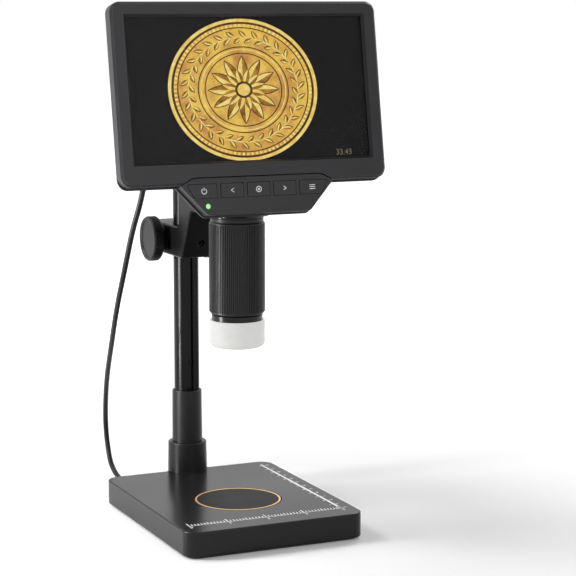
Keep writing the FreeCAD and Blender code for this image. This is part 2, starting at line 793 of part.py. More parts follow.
def pinion_outline():
    """Tooth outline in Y and Z about the pinion's axis, with a gap facing the rack."""
    base_r = pinion_r * math.cos(pressure_angle)
    tip_r = pinion_r + module
    root_r = pinion_r - 1.25 * module
    half_tooth = (math.pi * module / 2 - backlash) / (2 * pinion_r)
    at_pitch = involute(base_r, pinion_r)
    flank = []
    for i in range(flank_steps + 1):
        r = base_r + (tip_r - base_r) * i / flank_steps
        flank.append((r, half_tooth + at_pitch - involute(base_r, r)))
    flank = [(root_r, flank[0][1])] + flank
    points = []
    for tooth in range(pinion_teeth):
        middle = math.pi / 2 + (tooth + 0.5) * 2 * math.pi / pinion_teeth
        for r, half in flank:
            points.append((r, middle - half))
        for r, half in reversed(flank):
            points.append((r, middle + half))
    return [(r * math.sin(a), r * math.cos(a)) for r, a in points]


def make_drive():
    """Pinion, shaft, bushes and the two knobs on the shaft's ends."""
    half = pinion_width / 2
    outline = [V(-half, pinion_y + y, pinion_z + z) for y, z in pinion_outline()]
    gear = Part.Face(Part.makePolygon(outline + [outline[0]])).extrude(V(pinion_width, 0, 0))
    gear = gear.cut(rod(shaft_r, V(-half - 1, pinion_y, pinion_z), V(half + 1, pinion_y, pinion_z)))
    save(gear, "pinion")

    shaft_half = hub_face_x + end_gap + knob_bore
    save(rod(shaft_r, V(-shaft_half, pinion_y, pinion_z), V(shaft_half, pinion_y, pinion_z)), "pinion_shaft")

    bushes = []
    inner = half + 2 * cavity_side
    for side in (-1, 1):
        start = V(side * inner, pinion_y, pinion_z)
        end = V(side * hub_face_x, pinion_y, pinion_z)
        bushes.append(rod(bush_r, start, end).cut(rod(shaft_r + run_gap, start, end)))
    save(group(bushes), "pinion_bushes")

    for side, node in ((-1, "knob_left"), (1, "knob_right")):
        knob = make_knob()
        if side < 0:
            turn = FreeCAD.Rotation(V(0, 1, 0), -90)
        else:
            turn = FreeCAD.Rotation(V(0, 1, 0), 90)
        place = V(side * (hub_face_x + end_gap), pinion_y, pinion_z)
        knob.Placement = FreeCAD.Placement(place, turn)
        save(knob, node)


def make_knob():
    """A knob standing on its neck at z = 0, with fine ribs and a dished face."""
    low = knob_neck
    high = knob_neck + knob_width
    core_r = knob_r - 1.5 * knob_rib_depth
    rim_r = knob_r - knob_rib_depth / 4
    band = knob_band
    ribs = ribbed_ring(knob_r, knob_rib_depth, knob_ribs, low + band, high - band)
    body = revolve([(0, 0), (knob_neck_r, 0), (knob_neck_r, low), (core_r, low), (rim_r, low + band),
                    (core_r, low + band), (core_r, high - band), (rim_r, high - band), (core_r, high),
                    (knob_dish_r, high), (knob_dish_r - knob_dish, high - knob_dish), (0, high - knob_dish)])
    return ribs.fuse(body).cut(upright(shaft_r, -1, knob_bore))


def on_face(shape):
    """Place a piece drawn in the screen's own u, v, w frame."""
    shape.Placement = FreeCAD.Placement(V(0, face_y, face_z), FreeCAD.Rotation(V(1, 0, 0), 90.0 - tilt_deg))
    return shape


def tongue(grow, low, high):
    """The key tongue's outline, grown or shrunk: an arched top, slanting sides and a flat foot."""
    slant = math.hypot(tongue_step_half - tongue_low_half, tongue_step_v - tongue_low_v)
    outward = grow * slant / (tongue_step_v - tongue_low_v)
    right = [(tongue_low_half + outward * 0.6, tongue_low_v - grow),
             (tongue_step_half + outward, tongue_step_v),
             (tongue_top_half + grow / 2, tongue_top_v + grow)]
    left = [(-u, v) for u, v in reversed(right)]
    return plate(right + left, list(tongue_radii) + list(reversed(tongue_radii)), low, high)


def head_outline(low_v, low, high, inset=0.0):
    return rounded_box((-head_half + inset, head_half - inset), (low_v + inset, head_height - inset),
                       low, high, head_corner_r - inset)


def boss_places():
    u = head_half - head_wall - bezel_boss_inset
    return [(side * u, v) for side in (-1, 1) for v in
            (bezel_boss_low, head_height / 2, head_height - head_wall - head_corner_r)]


def make_bezel():
    """Front frame with its window and the arch over the keys, then the glass and the panel behind it."""
    body = head_outline(bezel_lip, -bezel_depth, 0)
    body = body.makeChamfer(front_chamfer, edges_where(body, lambda e: all_at(e, "Z", 0.0)))
    bosses = [upright(bezel_boss_r, -bezel_depth, -head_wall, u, v) for u, v in boss_places()]
    body = body.cut(head_outline(bezel_lip, -bezel_depth - 1, -head_wall, head_wall).cut(bosses))
    half_u = window_width / 2
    half_v = window_height / 2
    opening = Part.makeLoft([flat_rectangle(half_u, half_v, -head_wall),
                             flat_rectangle(half_u + window_bevel, half_v + window_bevel, 0)], True)
    cuts = [opening, tongue(tongue_gap, -bezel_depth - 1, 1)]
    for u, v in boss_places():
        cuts.append(upright(cover_screw_r, -bezel_depth - 1, -bezel_depth + cover_screw_grip + 1, u, v))
    body = body.cut(cuts)
    # The arch over the key tongue has its own low wall.
    arch = tongue(tongue_gap + arch_wall, -bezel_depth, -head_wall / 2)
    arch = arch.cut(tongue(tongue_gap, -bezel_depth - 1, 1))
    keep = box((-head_half, head_half), (bezel_lip, tongue_top_v + 2 * arch_wall), (-bezel_depth, 0))
    save(on_face(body.fuse(arch.common(keep))), "front_bezel")

    u = (-half_u - glass_side, half_u + glass_side)
    v = (border_low - glass_border, border_low + window_height + glass_border)
    glass_w = -head_wall - fit_gap
    lcd_w = glass_w - glass_thickness
    save(on_face(rounded_box(u, v, lcd_w, glass_w, glass_side)), "display_glass")
    save(on_face(rounded_box(u, v, lcd_w - lcd_thickness, lcd_w, glass_side)), "display_panel")


def flat_rectangle(half_u, half_v, w):
    low = window_v - half_v
    high = window_v + half_v
    points = [V(-half_u, low, w), V(half_u, low, w), V(half_u, high, w), V(-half_u, high, w)]
    return Part.makePolygon(points + [points[0]])


def raised(inset, low, high):
    """The raised middle of the rear cover, drawn in towards the back."""
    wires = []
    for w, draw in ((low, 0.0), (high, raise_taper)):
        half = raise_half - inset - draw
        bottom = raise_low_v + inset + draw
        top = raise_high_v - inset - draw
        points = [V(-half, bottom, w), V(half, bottom, w), V(half, top, w), V(-half, top, w)]
        wires.append(Part.Wire(rounded_edges(points, [raise_corner_r - inset] * 4, True)))
    return Part.makeLoft(wires, True)


def neck(inset, low, high):
    """The narrow part of the rear cover behind the keys, which runs up into the raised middle."""
    return rounded_box((-neck_half + inset, neck_half - inset),
                       (neck_low_v + inset, raise_low_v + raise_depth + inset), low, high, neck_corner_r - inset)


def make_rear_cover():
    flange = head_outline(0, -cover_depth, -bezel_depth)
    flange = flange.fuse(tongue(tongue_rim, -cover_depth, -bezel_depth)).removeSplitter()
    flange = flange.makeFillet(cover_edge_r, edges_where(flange, lambda e: all_at(e, "Z", -cover_depth)))
    shell = flange.fuse([raised(0, -cover_depth, -back_depth), neck(0, -back_depth, -cover_depth)])
    cable_half = housing_half - head_wall
    cuts = [raised(head_wall, -bezel_depth + 1, back_inner), neck(head_wall, back_inner, -bezel_depth + 1),
            rounded_box((-cable_half, cable_half), (head_wall, raise_low_v + raise_depth), -back_depth - 1,
                        back_inner + 1, head_wall)]
    for i in range(vent_count):
        u = (i - (vent_count - 1) / 2) * vent_pitch
        cuts.append(rounded_box((u - vent_width / 2, u + vent_width / 2), (window_v, window_v + vent_length),
                                -back_depth - 1, back_inner + 1, 0.45 * vent_width))
    head_w = -cover_depth + cover_screw_head_h
    for u, v in boss_places():
        cuts.append(upright(cover_screw_r + fit_gap, -cover_depth - 1, -bezel_depth + 1, u, v))
        cuts.append(upright(cover_screw_head_r + fit_gap, -cover_depth - 1, head_w, u, v))
    # The cord's plug goes into the underside of the raised part.
    plug_u = plug_half[0] + fit_gap
    plug_w = plug_half[1] + fit_gap
    cuts.append(box((cord_exit_u - plug_u, cord_exit_u + plug_u),
                    (raise_low_v - 1, raise_low_v + plug_seat + 1),
                    (-plug_depth - plug_w, -plug_depth + plug_w)))
    save(on_face(shell.cut(cuts)), "rear_cover")

    screws = []
    for u, v in boss_places():
        head = upright(cover_screw_head_r, -cover_depth, head_w, u, v)
        head = head.cut(upright(screw_recess, -cover_depth - 1, head_w - cover_screw_head_h / 2, u, v))
        screws.append(head.fuse(upright(cover_screw_r, head_w, -bezel_depth + cover_screw_grip, u, v)))
    save(on_face(group(screws)), "cover_screws")


def end_key_points(side, grow):
    """Outline of the first and last keys, whose outer ends follow the tongue's slant."""
    low = key_v - key_height / 2 - grow
    high = key_v + key_height / 2 + grow
    points = [(end_key_inner - grow, low), (end_key_low + grow, low), (end_key_top + 1.2 * grow, high),
              (end_key_inner - grow, high)]
    if side < 0:
        points = [(-u, v) for u, v in reversed(points)]
    return points


def key_shape(name, grow, low, high):
    """One key, or its opening when grown by the clearance."""
    if name in ("power", "menu"):
        points = end_key_points(-1 if name == "power" else 1, grow)
        return plate(points, [key_corner_r] * 4, low, high)
    centre = key_centre(name)
    half_u = key_width / 2 + grow
    half_v = key_height / 2 + grow
    return rounded_box((centre - half_u, centre + half_u), (key_v - half_v, key_v + half_v),
                       low, high, key_corner_r)


def key_centre(name):
    ends = (end_key_inner + (end_key_top + end_key_low) / 2) / 2
    return {"power": -ends, "left": -key_pitch, "select": 0.0, "right": key_pitch, "menu": ends}[name]


def make_keys():
    """The key tongue, its five keys, and the board with their switches and the status light."""
    top = -tongue_recess
    under = top - tongue_plate
    tray = tongue(0, -bezel_depth, top)
    tray = tray.makeChamfer(tongue_chamfer, edges_where(tray, lambda e: all_at(e, "Z", top)))
    tray = tray.cut(tongue(-tongue_wall, -bezel_depth - 1, under))
    cuts = [key_shape(name, pass_gap, -bezel_depth - 1, 1) for name in key_names]
    cuts.append(upright(led_r + run_gap, under - 1, 1, led_u, led_v))
    save(on_face(tray.cut(cuts)), "key_panel")

    flange_top = under - flange_gap
    flange_low = flange_top - key_flange_thickness
    stem_low = flange_low - key_stem
    for name in key_names:
        cap = key_shape(name, 0, flange_low, top + key_proud)
        cap = cap.makeChamfer(key_chamfer, edges_where(cap, lambda e: all_at(e, "Z", top + key_proud)))
        flange = key_shape(name, pass_gap + key_flange, flange_low, flange_top)
        flange = flange.common(tongue(-tongue_wall - pass_gap, -bezel_depth, 0))
        stem = upright(key_stem_r, stem_low, flange_top, key_centre(name), key_v)
        save(on_face(cap.fuse([flange, stem])), "key_" + name)

    switch_top = stem_low - key_travel - pass_gap
    board_top = switch_top - switch_height
    board = tongue(-tongue_wall - pass_gap, board_top - key_board_thickness, board_top)
    switches = []
    half = switch_size / 2
    for name in key_names:
        u = key_centre(name)
        body = box((u - half, u + half), (key_v - half, key_v + half), (board_top, switch_top - switch_cap))
        switches.append(body.fuse(upright(switch_cap_r, board_top, switch_top, u, key_v)))
    save(on_face(board.fuse(switches)), "key_board")
    save(on_face(upright(led_r, board_top, top + led_proud, led_u, led_v)), "status_light")


def make_electronics():
    """The main board on its posts and the battery, both on the rear cover's inner face."""
    front = -cover_depth - electronics_gap
    back = front - board_thickness
    u = (-6.0, raise_half - 8.0)
    v = (raise_low_v + 12.0, raise_high_v - 10.0)
    board = rounded_box(u, v, back, front, 2.0)
    # Processor, memory, power stage, card holder, coil and ribbon socket, by their place on the board.
    chips = [hung_chip(u[0] + 14, v[0] + 26, 16, 16, back, 1.4),
             hung_chip(u[0] + 38, v[0] + 28, 12, 12, back, 1.2),
             hung_chip(u[0] + 14, v[0] + 8, 12, 12, back, 1.0),
             hung_chip(u[0] + 38, v[0] + 44, 12, 14, back, 2.4),
             hung_chip(u[0] + 40, v[0] + 8, 10, 12, back, 3.6),
             hung_chip(u[0] + 22, v[0] + 1, 14, 4, back, 2.8)]
    posts = [upright(board_post_r, back_inner, back, x, y)
             for x in (u[0] + board_border, u[1] - board_border)
             for y in (v[0] + board_border, v[1] - board_border)]
    save(on_face(board.fuse(chips + posts)), "main_board")
    cell = rounded_box((-raise_half + 10.0, -12.0), (raise_low_v + 20.0, raise_high_v - 16.0),
                       back_inner, front, 3.0)
    rims = edges_where(cell, lambda e: all_at(e, "Z", front) or all_at(e, "Z", back_inner))
    save(on_face(cell.makeFillet(cover_edge_r, rims)), "battery")


def hung_chip(u, v, width, length, top, height):
    """A flat-sided part on the back of a board."""
    return box((u, u + width), (v, v + length), (top - height, top))


def face_point(v, depth):
    """Y and Z of a point at height v on the face and this far behind it."""
    y = face_y + v * math.sin(tilt) + depth * math.cos(tilt)
    z = face_z + v * math.cos(tilt) - depth * math.sin(tilt)
    return (y, z)


def front_point(z, depth):
    """Y and Z of the point at this height and this far behind the face plane."""
    return (face_y + (depth + (z - face_z) * math.sin(tilt)) / math.cos(tilt), z)


def housing_solid(inset, front_depth):
    """The camera housing: flat underneath, its front leaning with the screen, its top sloping to the back."""
    low = housing_bottom_z + inset
    high = housing_top_z - inset
    rear = arm_end_y - inset
    points = [front_point(low, front_depth), (rear, low), (rear, high - housing_slope),
              (rear - housing_slope, high), front_point(high + housing_slope / 2, front_depth)]
    solid = side_profile(points, [0, 0, 6.0, 8.0, 0], housing_half - inset)
    rear_edges = edges_where(solid, lambda e: all_at(e, "Y", rear) and e.BoundBox.XLength < 0.01)
    return solid.makeFillet(housing_corner_r - inset / 2, rear_edges)


def make_housing():
    shell = housing_solid(0, back_depth)
    inner_z = housing_bottom_z + housing_wall
    cuts = [housing_solid(housing_wall, cover_depth),
            upright(tube_bore_r, housing_bottom_z - 1, inner_z + 1, 0, barrel_y)]
    for x, z in arm_bolt_places():
        cuts.append(rod(arm_bolt_r + fit_gap, V(x, arm_end_y - housing_wall - 1, z), V(x, arm_end_y + 1, z)))
    for x, y in flange_screw_places():
        cuts.append(upright(flange_screw_r, housing_bottom_z - 1, inner_z + 1, x, y))
    save(shell.cut(cuts), "camera_housing")

    # The image sensor hangs under its board and looks down the barrel.
    low = inner_z + electronics_gap
    half = camera_board_half
    board = rounded_box((-half, half), (barrel_y - half, barrel_y + half), low, low + board_thickness, 1.5)
    reach = half - camera_post_r - 0.5
    posts = [upright(camera_post_r, inner_z, low, x * reach, barrel_y + y * reach)
             for x in (-1, 1) for y in (-1, 1)]
    save(board.fuse(posts), "camera_board")
    sensor = box((-sensor_half, sensor_half), (barrel_y - sensor_half, barrel_y + sensor_half),
                 (low - board_thickness, low))
    save(sensor, "image_sensor")


def flange_screw_places():
    reach = (flange_collar_r + flange_r) / 2 * math.sqrt(0.5)
    return [(x * reach, barrel_y + y * reach) for x in (-1, 1) for y in (-1, 1)]


def make_barrel():
    """The flange, the tube, the nose with its lamps, and the diffuser cap."""
    collar_z = ring_top_z + end_gap
    bore_r = tube_r + run_gap
    edge = housing_bottom_z - flange_z - flange_step
    flange = revolve([(bore_r, housing_bottom_z), (bore_r, collar_z), (flange_collar_r, collar_z),
                      (flange_collar_r, flange_z), (flange_r - flange_step, flange_z),
                      (flange_r, flange_z + flange_step), (flange_r, flange_z + flange_step + edge)],
                     0, barrel_y)
    head_z = flange_z + flange_head_h
    for x, y in flange_screw_places():
        flange = flange.cut([upright(flange_screw_r + fit_gap, flange_z - 1, housing_bottom_z + 1, x, y),
                             upright(flange_head_r + fit_gap, flange_z - 1, head_z, x, y)])
    save(flange, "barrel_flange")

    screws = []
    for x, y in flange_screw_places():
        head = upright(flange_head_r, flange_z, head_z, x, y)
        head = head.cut(upright(flange_screw_r - fit_gap, flange_z - 1, head_z - flange_head_h / 2, x, y))
        screws.append(head.fuse(upright(flange_screw_r, head_z, housing_bottom_z + housing_wall, x, y)))
    save(group(screws), "flange_screws")

    tube = upright(tube_r, tube_low_z, housing_bottom_z, 0, barrel_y)
    tube = tube.cut(upright(tube_bore_r, tube_low_z - 1, housing_bottom_z + 1, 0, barrel_y))
    reach = focus_travel + key_pin_r + pass_gap
    guide = box((-key_pin_r - run_gap, key_pin_r + run_gap), (barrel_y, barrel_y + tube_r + 1),
                (pin_z - reach, pin_z + reach))
    save(tube.cut(guide), "barrel_tube")

    # The nose carries the lamp board and the spigot that the diffuser cap is pushed over.
    spigot_z = nose_bottom_z - spigot_length
    spigot_inner_r = spigot_r - spigot_wall
    nose = revolve([(lamp_board_bore_r, nose_bottom_z), (lamp_board_bore_r, tube_low_z),
                    (nose_r - rim_chamfer, tube_low_z), (nose_r, tube_low_z - rim_chamfer),
                    (nose_r, nose_bottom_z), (spigot_r, nose_bottom_z), (spigot_r, spigot_z),
                    (spigot_inner_r, spigot_z), (spigot_inner_r, nose_bottom_z)], 0, barrel_y)
    save(nose, "barrel_nose")

    board_low = nose_bottom_z - lamp_board_thickness
    board = upright(lamp_board_r, board_low, nose_bottom_z, 0, barrel_y)
    board = board.cut(upright(lamp_board_bore_r, board_low - 1, nose_bottom_z + 1, 0, barrel_y))
    save(board, "lamp_board")
    lamps = []
    ring = (lamp_board_r + lamp_board_bore_r) / 2
    half = lamp_size / 2
    for i in range(lamp_count):
        lamp = box((ring - half, ring + half), (-half, half), (board_low - lamp_height, board_low))
        lamp.rotate(V(0, 0, 0), V(0, 0, 1), 360.0 * i / lamp_count)
        lamp.translate(V(0, barrel_y, 0))
        lamps.append(lamp)
    save(group(lamps), "lamps")

    cap = upright(cap_outer_r, cap_bottom_z, nose_bottom_z, 0, barrel_y)
    cap = cap.makeFillet(cap_round_r, edges_where(cap, lambda e: all_at(e, "Z", cap_bottom_z)))
    floor_z = cap_bottom_z + cap_wall
    hollow = upright(spigot_r + fit_gap, floor_z, nose_bottom_z + 1, 0, barrel_y)
    rim = edges_where(hollow, lambda e: all_at(e, "Z", floor_z))
    hollow = hollow.makeFillet(cap_round_r - cap_wall / 2, rim)
    mouth = upright(cap_mouth_r, cap_bottom_z - 1, floor_z + 1, 0, barrel_y)
    save(cap.cut([hollow, mouth]), "diffuser_cap")


def make_focus_ring():
    """The ribbed ring turns a sleeve with a helical groove, which lifts the lens cell by its pin."""
    low = ring_bottom_z
    high = ring_top_z
    bore_r = tube_r + run_gap
    core_r = ring_r - 1.25 * ring_rib_depth
    edge_r = core_r - ring_rib_depth
    neck_r = ring_r - ring_neck_step
    shoulder_r = ring_r - ring_rib_depth / 4
    neck_z = high - ring_neck
    shoulder_z = neck_z - ring_shoulder
    rib_high = shoulder_z - ring_rib_depth
    ribs = ribbed_ring(ring_r, ring_rib_depth, ring_ribs, low + ring_band, rib_high)
    ends = revolve([(0, low), (edge_r, low), (core_r, low + ring_rib_depth), (core_r, rib_high),
                    (shoulder_r, rib_high), (shoulder_r, shoulder_z), (neck_r, neck_z), (neck_r, high),
                    (0, high)])
    ring = ribs.fuse(ends)
    ring.translate(V(0, barrel_y, 0))
    sleeve_low = low + sleeve_inset
    sleeve_high = high - sleeve_inset
    seat = upright(sleeve_r, sleeve_low, sleeve_high, 0, barrel_y)
    bore = upright(bore_r, low - 1, high + 1, 0, barrel_y)
    save(ring.cut([seat, bore]), "focus_ring")

    # The groove is cut in short level steps that follow the helix closely.
    groove = []
    rise = focus_travel / groove_steps
    half_step = focus_turn / groove_steps / 2
    for i in range(-groove_steps - 1, groove_steps + 2):
        angle = math.pi / 2 - 2 * half_step * i
        groove.append(groove_block(angle, 1.2 * half_step, pin_z + rise * i, key_pin_r + pass_gap + rise / 2))
    save(seat.cut(bore).cut(groove), "helix_sleeve")

    cell_r = tube_bore_r - run_gap
    bore_r = cell_r - cell_wall
    cell = revolve([(bore_r, cell_low_z), (cell_r, cell_low_z), (cell_r, cell_high_z), (bore_r, cell_high_z)],
                   0, barrel_y)
    pin_end_y = barrel_y + groove_outer_r() - pass_gap
    pin = rod(key_pin_r, V(0, barrel_y + cell_r - 1, pin_z), V(0, pin_end_y, pin_z))
    save(cell.fuse(pin), "lens_cell")

    # Two biconvex lenses with spherical faces.
    sphere_r = (bore_r ** 2 + lens_bulge ** 2) / (2 * lens_bulge)
    sphere_z = lens_rim + lens_bulge - sphere_r
    lenses = []
    for z in (cell_low_z + lens_inset, cell_high_z - lens_inset):
        blank = upright(bore_r, -lens_rim - lens_bulge, lens_rim + lens_bulge)
        upper = Part.makeSphere(sphere_r, V(0, 0, sphere_z))
        lower = Part.makeSphere(sphere_r, V(0, 0, -sphere_z))
        lens = blank.common(upper).common(lower)
        lens.translate(V(0, barrel_y, z))
        lenses.append(lens)
    save(group(lenses), "lenses")


def groove_outer_r():
    return sleeve_r - fit_gap


def groove_block(angle, half_angle, z, half_height):
    """A short wedge that cuts through the sleeve's inner wall."""
    low = z - half_height
    reach = groove_outer_r() / math.cos(half_angle)
    points = [V(0, 0, low)]
    for turn in (angle - half_angle, angle + half_angle):
        points.append(V(reach * math.cos(turn), reach * math.sin(turn), low))
    solid = Part.Face(Part.makePolygon(points + [points[0]])).extrude(V(0, 0, 2 * half_height))
    solid.translate(V(0, barrel_y, 0))
    return solid


def cord_route():
    """Route of the cord from the head's plug, down past the column and round behind the base."""
    root_v = raise_low_v - plug_length + plug_relief_root
    start_y, start_z = face_point(root_v - plug_relief * math.cos(plug_relief_turn),
                                  plug_depth + plug_relief * math.sin(plug_relief_turn))
    end = V(relief_x, base_depth / 2 + relief_length, relief_z)
    lean = plug_relief_turn - tilt
    down = V(0, math.sin(lean), -math.cos(lean))
    start = V(cord_exit_u, start_y, start_z)
    return [start, start + down * 10.0, V(-69.6, -13.8, 192.0), V(-69.8, 0.1, 166.5), V(-65.5, 28.0, 138.5),
            V(-58.4, 59.2, 110.0), V(-51.1, 90.6, 82.4), V(-45.4, 111.1, 58.9), V(-42.3, 120.2, 41.5),
            V(-41.3, 119.5, 27.0), V(-41.1, 113.8, 15.4), end + V(0, 13.5, 0), end]


def make_cord():
    points = cord_route()
    radii = [0.0]
    for i in range(1, len(points) - 1):
        before = points[i] - points[i - 1]
        after = points[i + 1] - points[i]
        half_turn = before.getAngle(after) / 2
        radii.append(0.45 * min(before.Length, after.Length) / math.tan(half_turn))
    radii.append(0.0)
    spine = Part.Wire(rounded_edges(points, radii, False))
    first = points[1] - points[0]
    circle = Part.makeCircle(cord_r, points[0], first)
    tube = spine.makePipeShell([Part.Wire(circle)], True, False)
    save(tube, "data_cord")


def make_plug():
    """The moulded plug under the head, and the strain relief behind the base."""
    low = raise_low_v - plug_length
    high = raise_low_v - 0.1
    mould = Part.makeLoft([plug_section(low, 3.4, 2.9), plug_section(high, 5.6, 3.3)], True)
    shell = box((cord_exit_u - plug_half[0], cord_exit_u + plug_half[0]), (high, raise_low_v + plug_seat),
                (-plug_depth - plug_half[1], -plug_depth + plug_half[1]))
    out = V(0, -math.cos(plug_relief_turn), -math.sin(plug_relief_turn))
    root = V(cord_exit_u, low + plug_relief_root, -plug_depth)
    relief = Part.makeCone(relief_root_r, cord_r + relief_wall, plug_relief, root, out)
    save(on_face(mould.fuse([shell, relief])), "cord_plug")

    wall_y = base_depth / 2
    inner_y = wall_y - base_wall
    neck_rod = rod(relief_neck_r, V(relief_x, inner_y - relief_anchor, relief_z),
                   V(relief_x, wall_y, relief_z))
    anchor = rod(relief_neck_r + relief_step, V(relief_x, inner_y - relief_anchor, relief_z),
                 V(relief_x, inner_y, relief_z))
    cone = Part.makeCone(relief_neck_r + relief_step, cord_r + relief_step, relief_length,
                         V(relief_x, wall_y, relief_z), V(0, 1, 0))
    save(anchor.fuse([neck_rod, cone]), "cord_relief")


def plug_section(v, half_u, half_w):
    left = cord_exit_u - half_u
    right = cord_exit_u + half_u
    back = -plug_depth - half_w
    front = -plug_depth + half_w
    points = [V(left, v, back), V(right, v, back), V(right, v, front), V(left, v, front)]
    return Part.Wire(rounded_edges(points, [min(half_u, half_w) * 0.8] * 4, True))


make_base()
make_scale()
make_column()
make_rack()
make_carriage()
make_drive()
make_bezel()
make_rear_cover()
make_keys()
make_electronics()
make_housing()
make_barrel()
make_focus_ring()
make_plug()
make_cord()
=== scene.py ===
import math

import bmesh
import bpy
from mathutils import Matrix, Vector


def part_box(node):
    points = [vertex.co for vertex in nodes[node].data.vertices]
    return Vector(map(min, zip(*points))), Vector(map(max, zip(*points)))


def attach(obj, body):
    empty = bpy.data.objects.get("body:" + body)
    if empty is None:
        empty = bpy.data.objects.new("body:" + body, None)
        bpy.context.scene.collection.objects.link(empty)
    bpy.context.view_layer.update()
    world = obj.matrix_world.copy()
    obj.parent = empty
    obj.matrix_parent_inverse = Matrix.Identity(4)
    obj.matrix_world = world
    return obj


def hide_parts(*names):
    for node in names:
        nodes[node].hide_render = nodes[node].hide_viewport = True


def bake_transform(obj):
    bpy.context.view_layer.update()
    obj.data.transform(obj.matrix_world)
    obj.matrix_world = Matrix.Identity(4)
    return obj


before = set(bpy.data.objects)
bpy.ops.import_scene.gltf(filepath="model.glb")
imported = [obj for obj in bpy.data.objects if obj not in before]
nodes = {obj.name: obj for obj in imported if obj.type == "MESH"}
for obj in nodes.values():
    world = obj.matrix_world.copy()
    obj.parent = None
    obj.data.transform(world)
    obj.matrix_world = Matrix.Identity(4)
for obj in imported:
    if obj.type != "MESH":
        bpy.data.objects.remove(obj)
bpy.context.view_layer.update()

MM = 0.001
TURN = 2 * math.pi
scene = bpy.context.scene


# Camera
CAMERA_PLACE = Vector((-0.4670, -1.1156, 0.3315))
CAMERA_TARGET = Vector((0.0403, 0.0, 0.1482))
CAMERA_LENS = 121.24
CAMERA_SENSOR = 36.0


def put_aimed(name, data, place, target):
    """A camera or a lamp at its place in the scene, pointing to its target."""
    obj = bpy.data.objects.new(name, data)
    scene.collection.objects.link(obj)
    obj.location = place
    obj.rotation_mode = "QUATERNION"
    obj.rotation_quaternion = (target - place).to_track_quat("-Z", "Y")
    return obj


camera = bpy.data.cameras.new("camera")
camera.lens = CAMERA_LENS
camera.sensor_width = CAMERA_SENSOR
scene.camera = put_aimed("camera", camera, CAMERA_PLACE, CAMERA_TARGET)


# Places on the object
BASE_LOW, BASE_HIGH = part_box("base_shell")
PAN_LOW, PAN_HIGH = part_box("weighing_pan")
FACE_LEAN = math.radians(9.7)                  # how far the screen and the keys lean back
FACE_ORIGIN = Vector((0.0, -0.0458, 0.220))    # a point of their common face, on the middle line


def face_frame(u, v, w):
    """World matrix of a piece drawn flat at this place on the screen's face, in millimetres."""
    across = Vector((1, 0, 0))
    up = Vector((0, math.sin(FACE_LEAN), math.cos(FACE_LEAN)))
    out = across.cross(up)
    turn = Matrix((across, up, out)).transposed().to_4x4()
    place = FACE_ORIGIN + (across * u + up * v + out * w) * MM
    return Matrix.Translation(place) @ turn @ Matrix.Scale(MM, 4)


def level_frame(x, y, z):
    """World matrix of a piece drawn flat on a level surface, in millimetres, from a place in metres."""
    return Matrix.Translation((x, y, z)) @ Matrix.Scale(MM, 4)


def shifted(place, x, y):
    """The same frame, moved along its own surface."""
    return place @ Matrix.Translation((x, y, 0))


# Colours
WHITE = (1.0, 1.0, 1.0, 1.0)


def linear(value):
    """One sRGB channel of 0 to 255 as a linear number."""
    share = value / 255.0
    return share / 12.92 if share <= 0.04045 else ((share + 0.055) / 1.055) ** 2.4


def tint(red, green=None, blue=None):
    """A linear colour from three sRGB channels, or a grey from one."""
    if green is None:
        green = blue = red
    return (linear(red), linear(green), linear(blue), 1.0)


def scaled(colour, gain, lift=0.0):
    """A darker or a paler colour, no brighter than white."""
    return [min(1.0, channel * gain + lift) for channel in colour[:3]] + [1.0]


# Shader nodes
def feed(tree, node, inputs):
    """The node, with each of these inputs given a plain value or linked from a socket."""
    for name, value in inputs.items():
        if isinstance(value, bpy.types.NodeSocket):
            tree.links.new(value, node.inputs[name])
        else:
            node.inputs[name].default_value = value
    return node


def object_place(tree):
    """The place of the shaded point, in the object's own frame."""
    return tree.nodes.new("ShaderNodeTexCoord").outputs["Object"]


def noise(tree, place, scale, detail, rough=0.5):
    """Cloudy values from 0 to 1, finer for a larger scale."""
    inputs = {"Vector": place, "Scale": scale, "Detail": detail, "Roughness": rough}
    return feed(tree, tree.nodes.new("ShaderNodeTexNoise"), inputs).outputs["Fac"]


def colour_between(tree, factor, ends, first, second):
    """A colour that runs from the first to the second while the factor runs between its ends."""
    ramp = tree.nodes.new("ShaderNodeValToRGB")
    for element, position, colour in zip(ramp.color_ramp.elements, ends, (first, second)):
        element.position = position
        element.color = colour
    return feed(tree, ramp, {"Fac": factor}).outputs["Color"]


def value_between(tree, factor, ends, first, second):
    """A number that runs from the first to the second while the factor runs between its ends."""
    inputs = {"Value": factor, "From Min": ends[0], "From Max": ends[1], "To Min": first, "To Max": second}
    return feed(tree, tree.nodes.new("ShaderNodeMapRange"), inputs).outputs["Result"]


def math_node(tree, operation, first, second):
    """The result of this operation on two numbers."""
    node = tree.nodes.new("ShaderNodeMath")
    node.operation = operation
    return feed(tree, node, {0: first, 1: second}).outputs["Value"]


# Surfaces
GRAIN_DEPTH = 0.00004
GRAIN_DETAIL = 3.0
SLOW_DETAIL = 4.0
SLOW_ENDS = (0.3, 0.7)        # values of the slow noise between which colour and polish change
POLISH_SWING = 0.04
EDGE_WEAR_AND_HIGHLIGHT_SAMPLES = 4
EDGE_WEAR_AND_HIGHLIGHT_ENDS = (0.995, 0.90)     # cosines between the true and the rounded normal where the paler edge, partly wear and partly painted highlight, starts and is full
EDGE_WEAR_AND_HIGHLIGHT_GAIN = 3.0
EDGE_WEAR_AND_HIGHLIGHT_LIFT = 0.05
MOTTLE_DETAIL = 6.0
MOTTLE_ROUGH = 0.65
MOTTLE_ENDS = (0.36, 0.64)
MOTTLE_DIM = 0.9


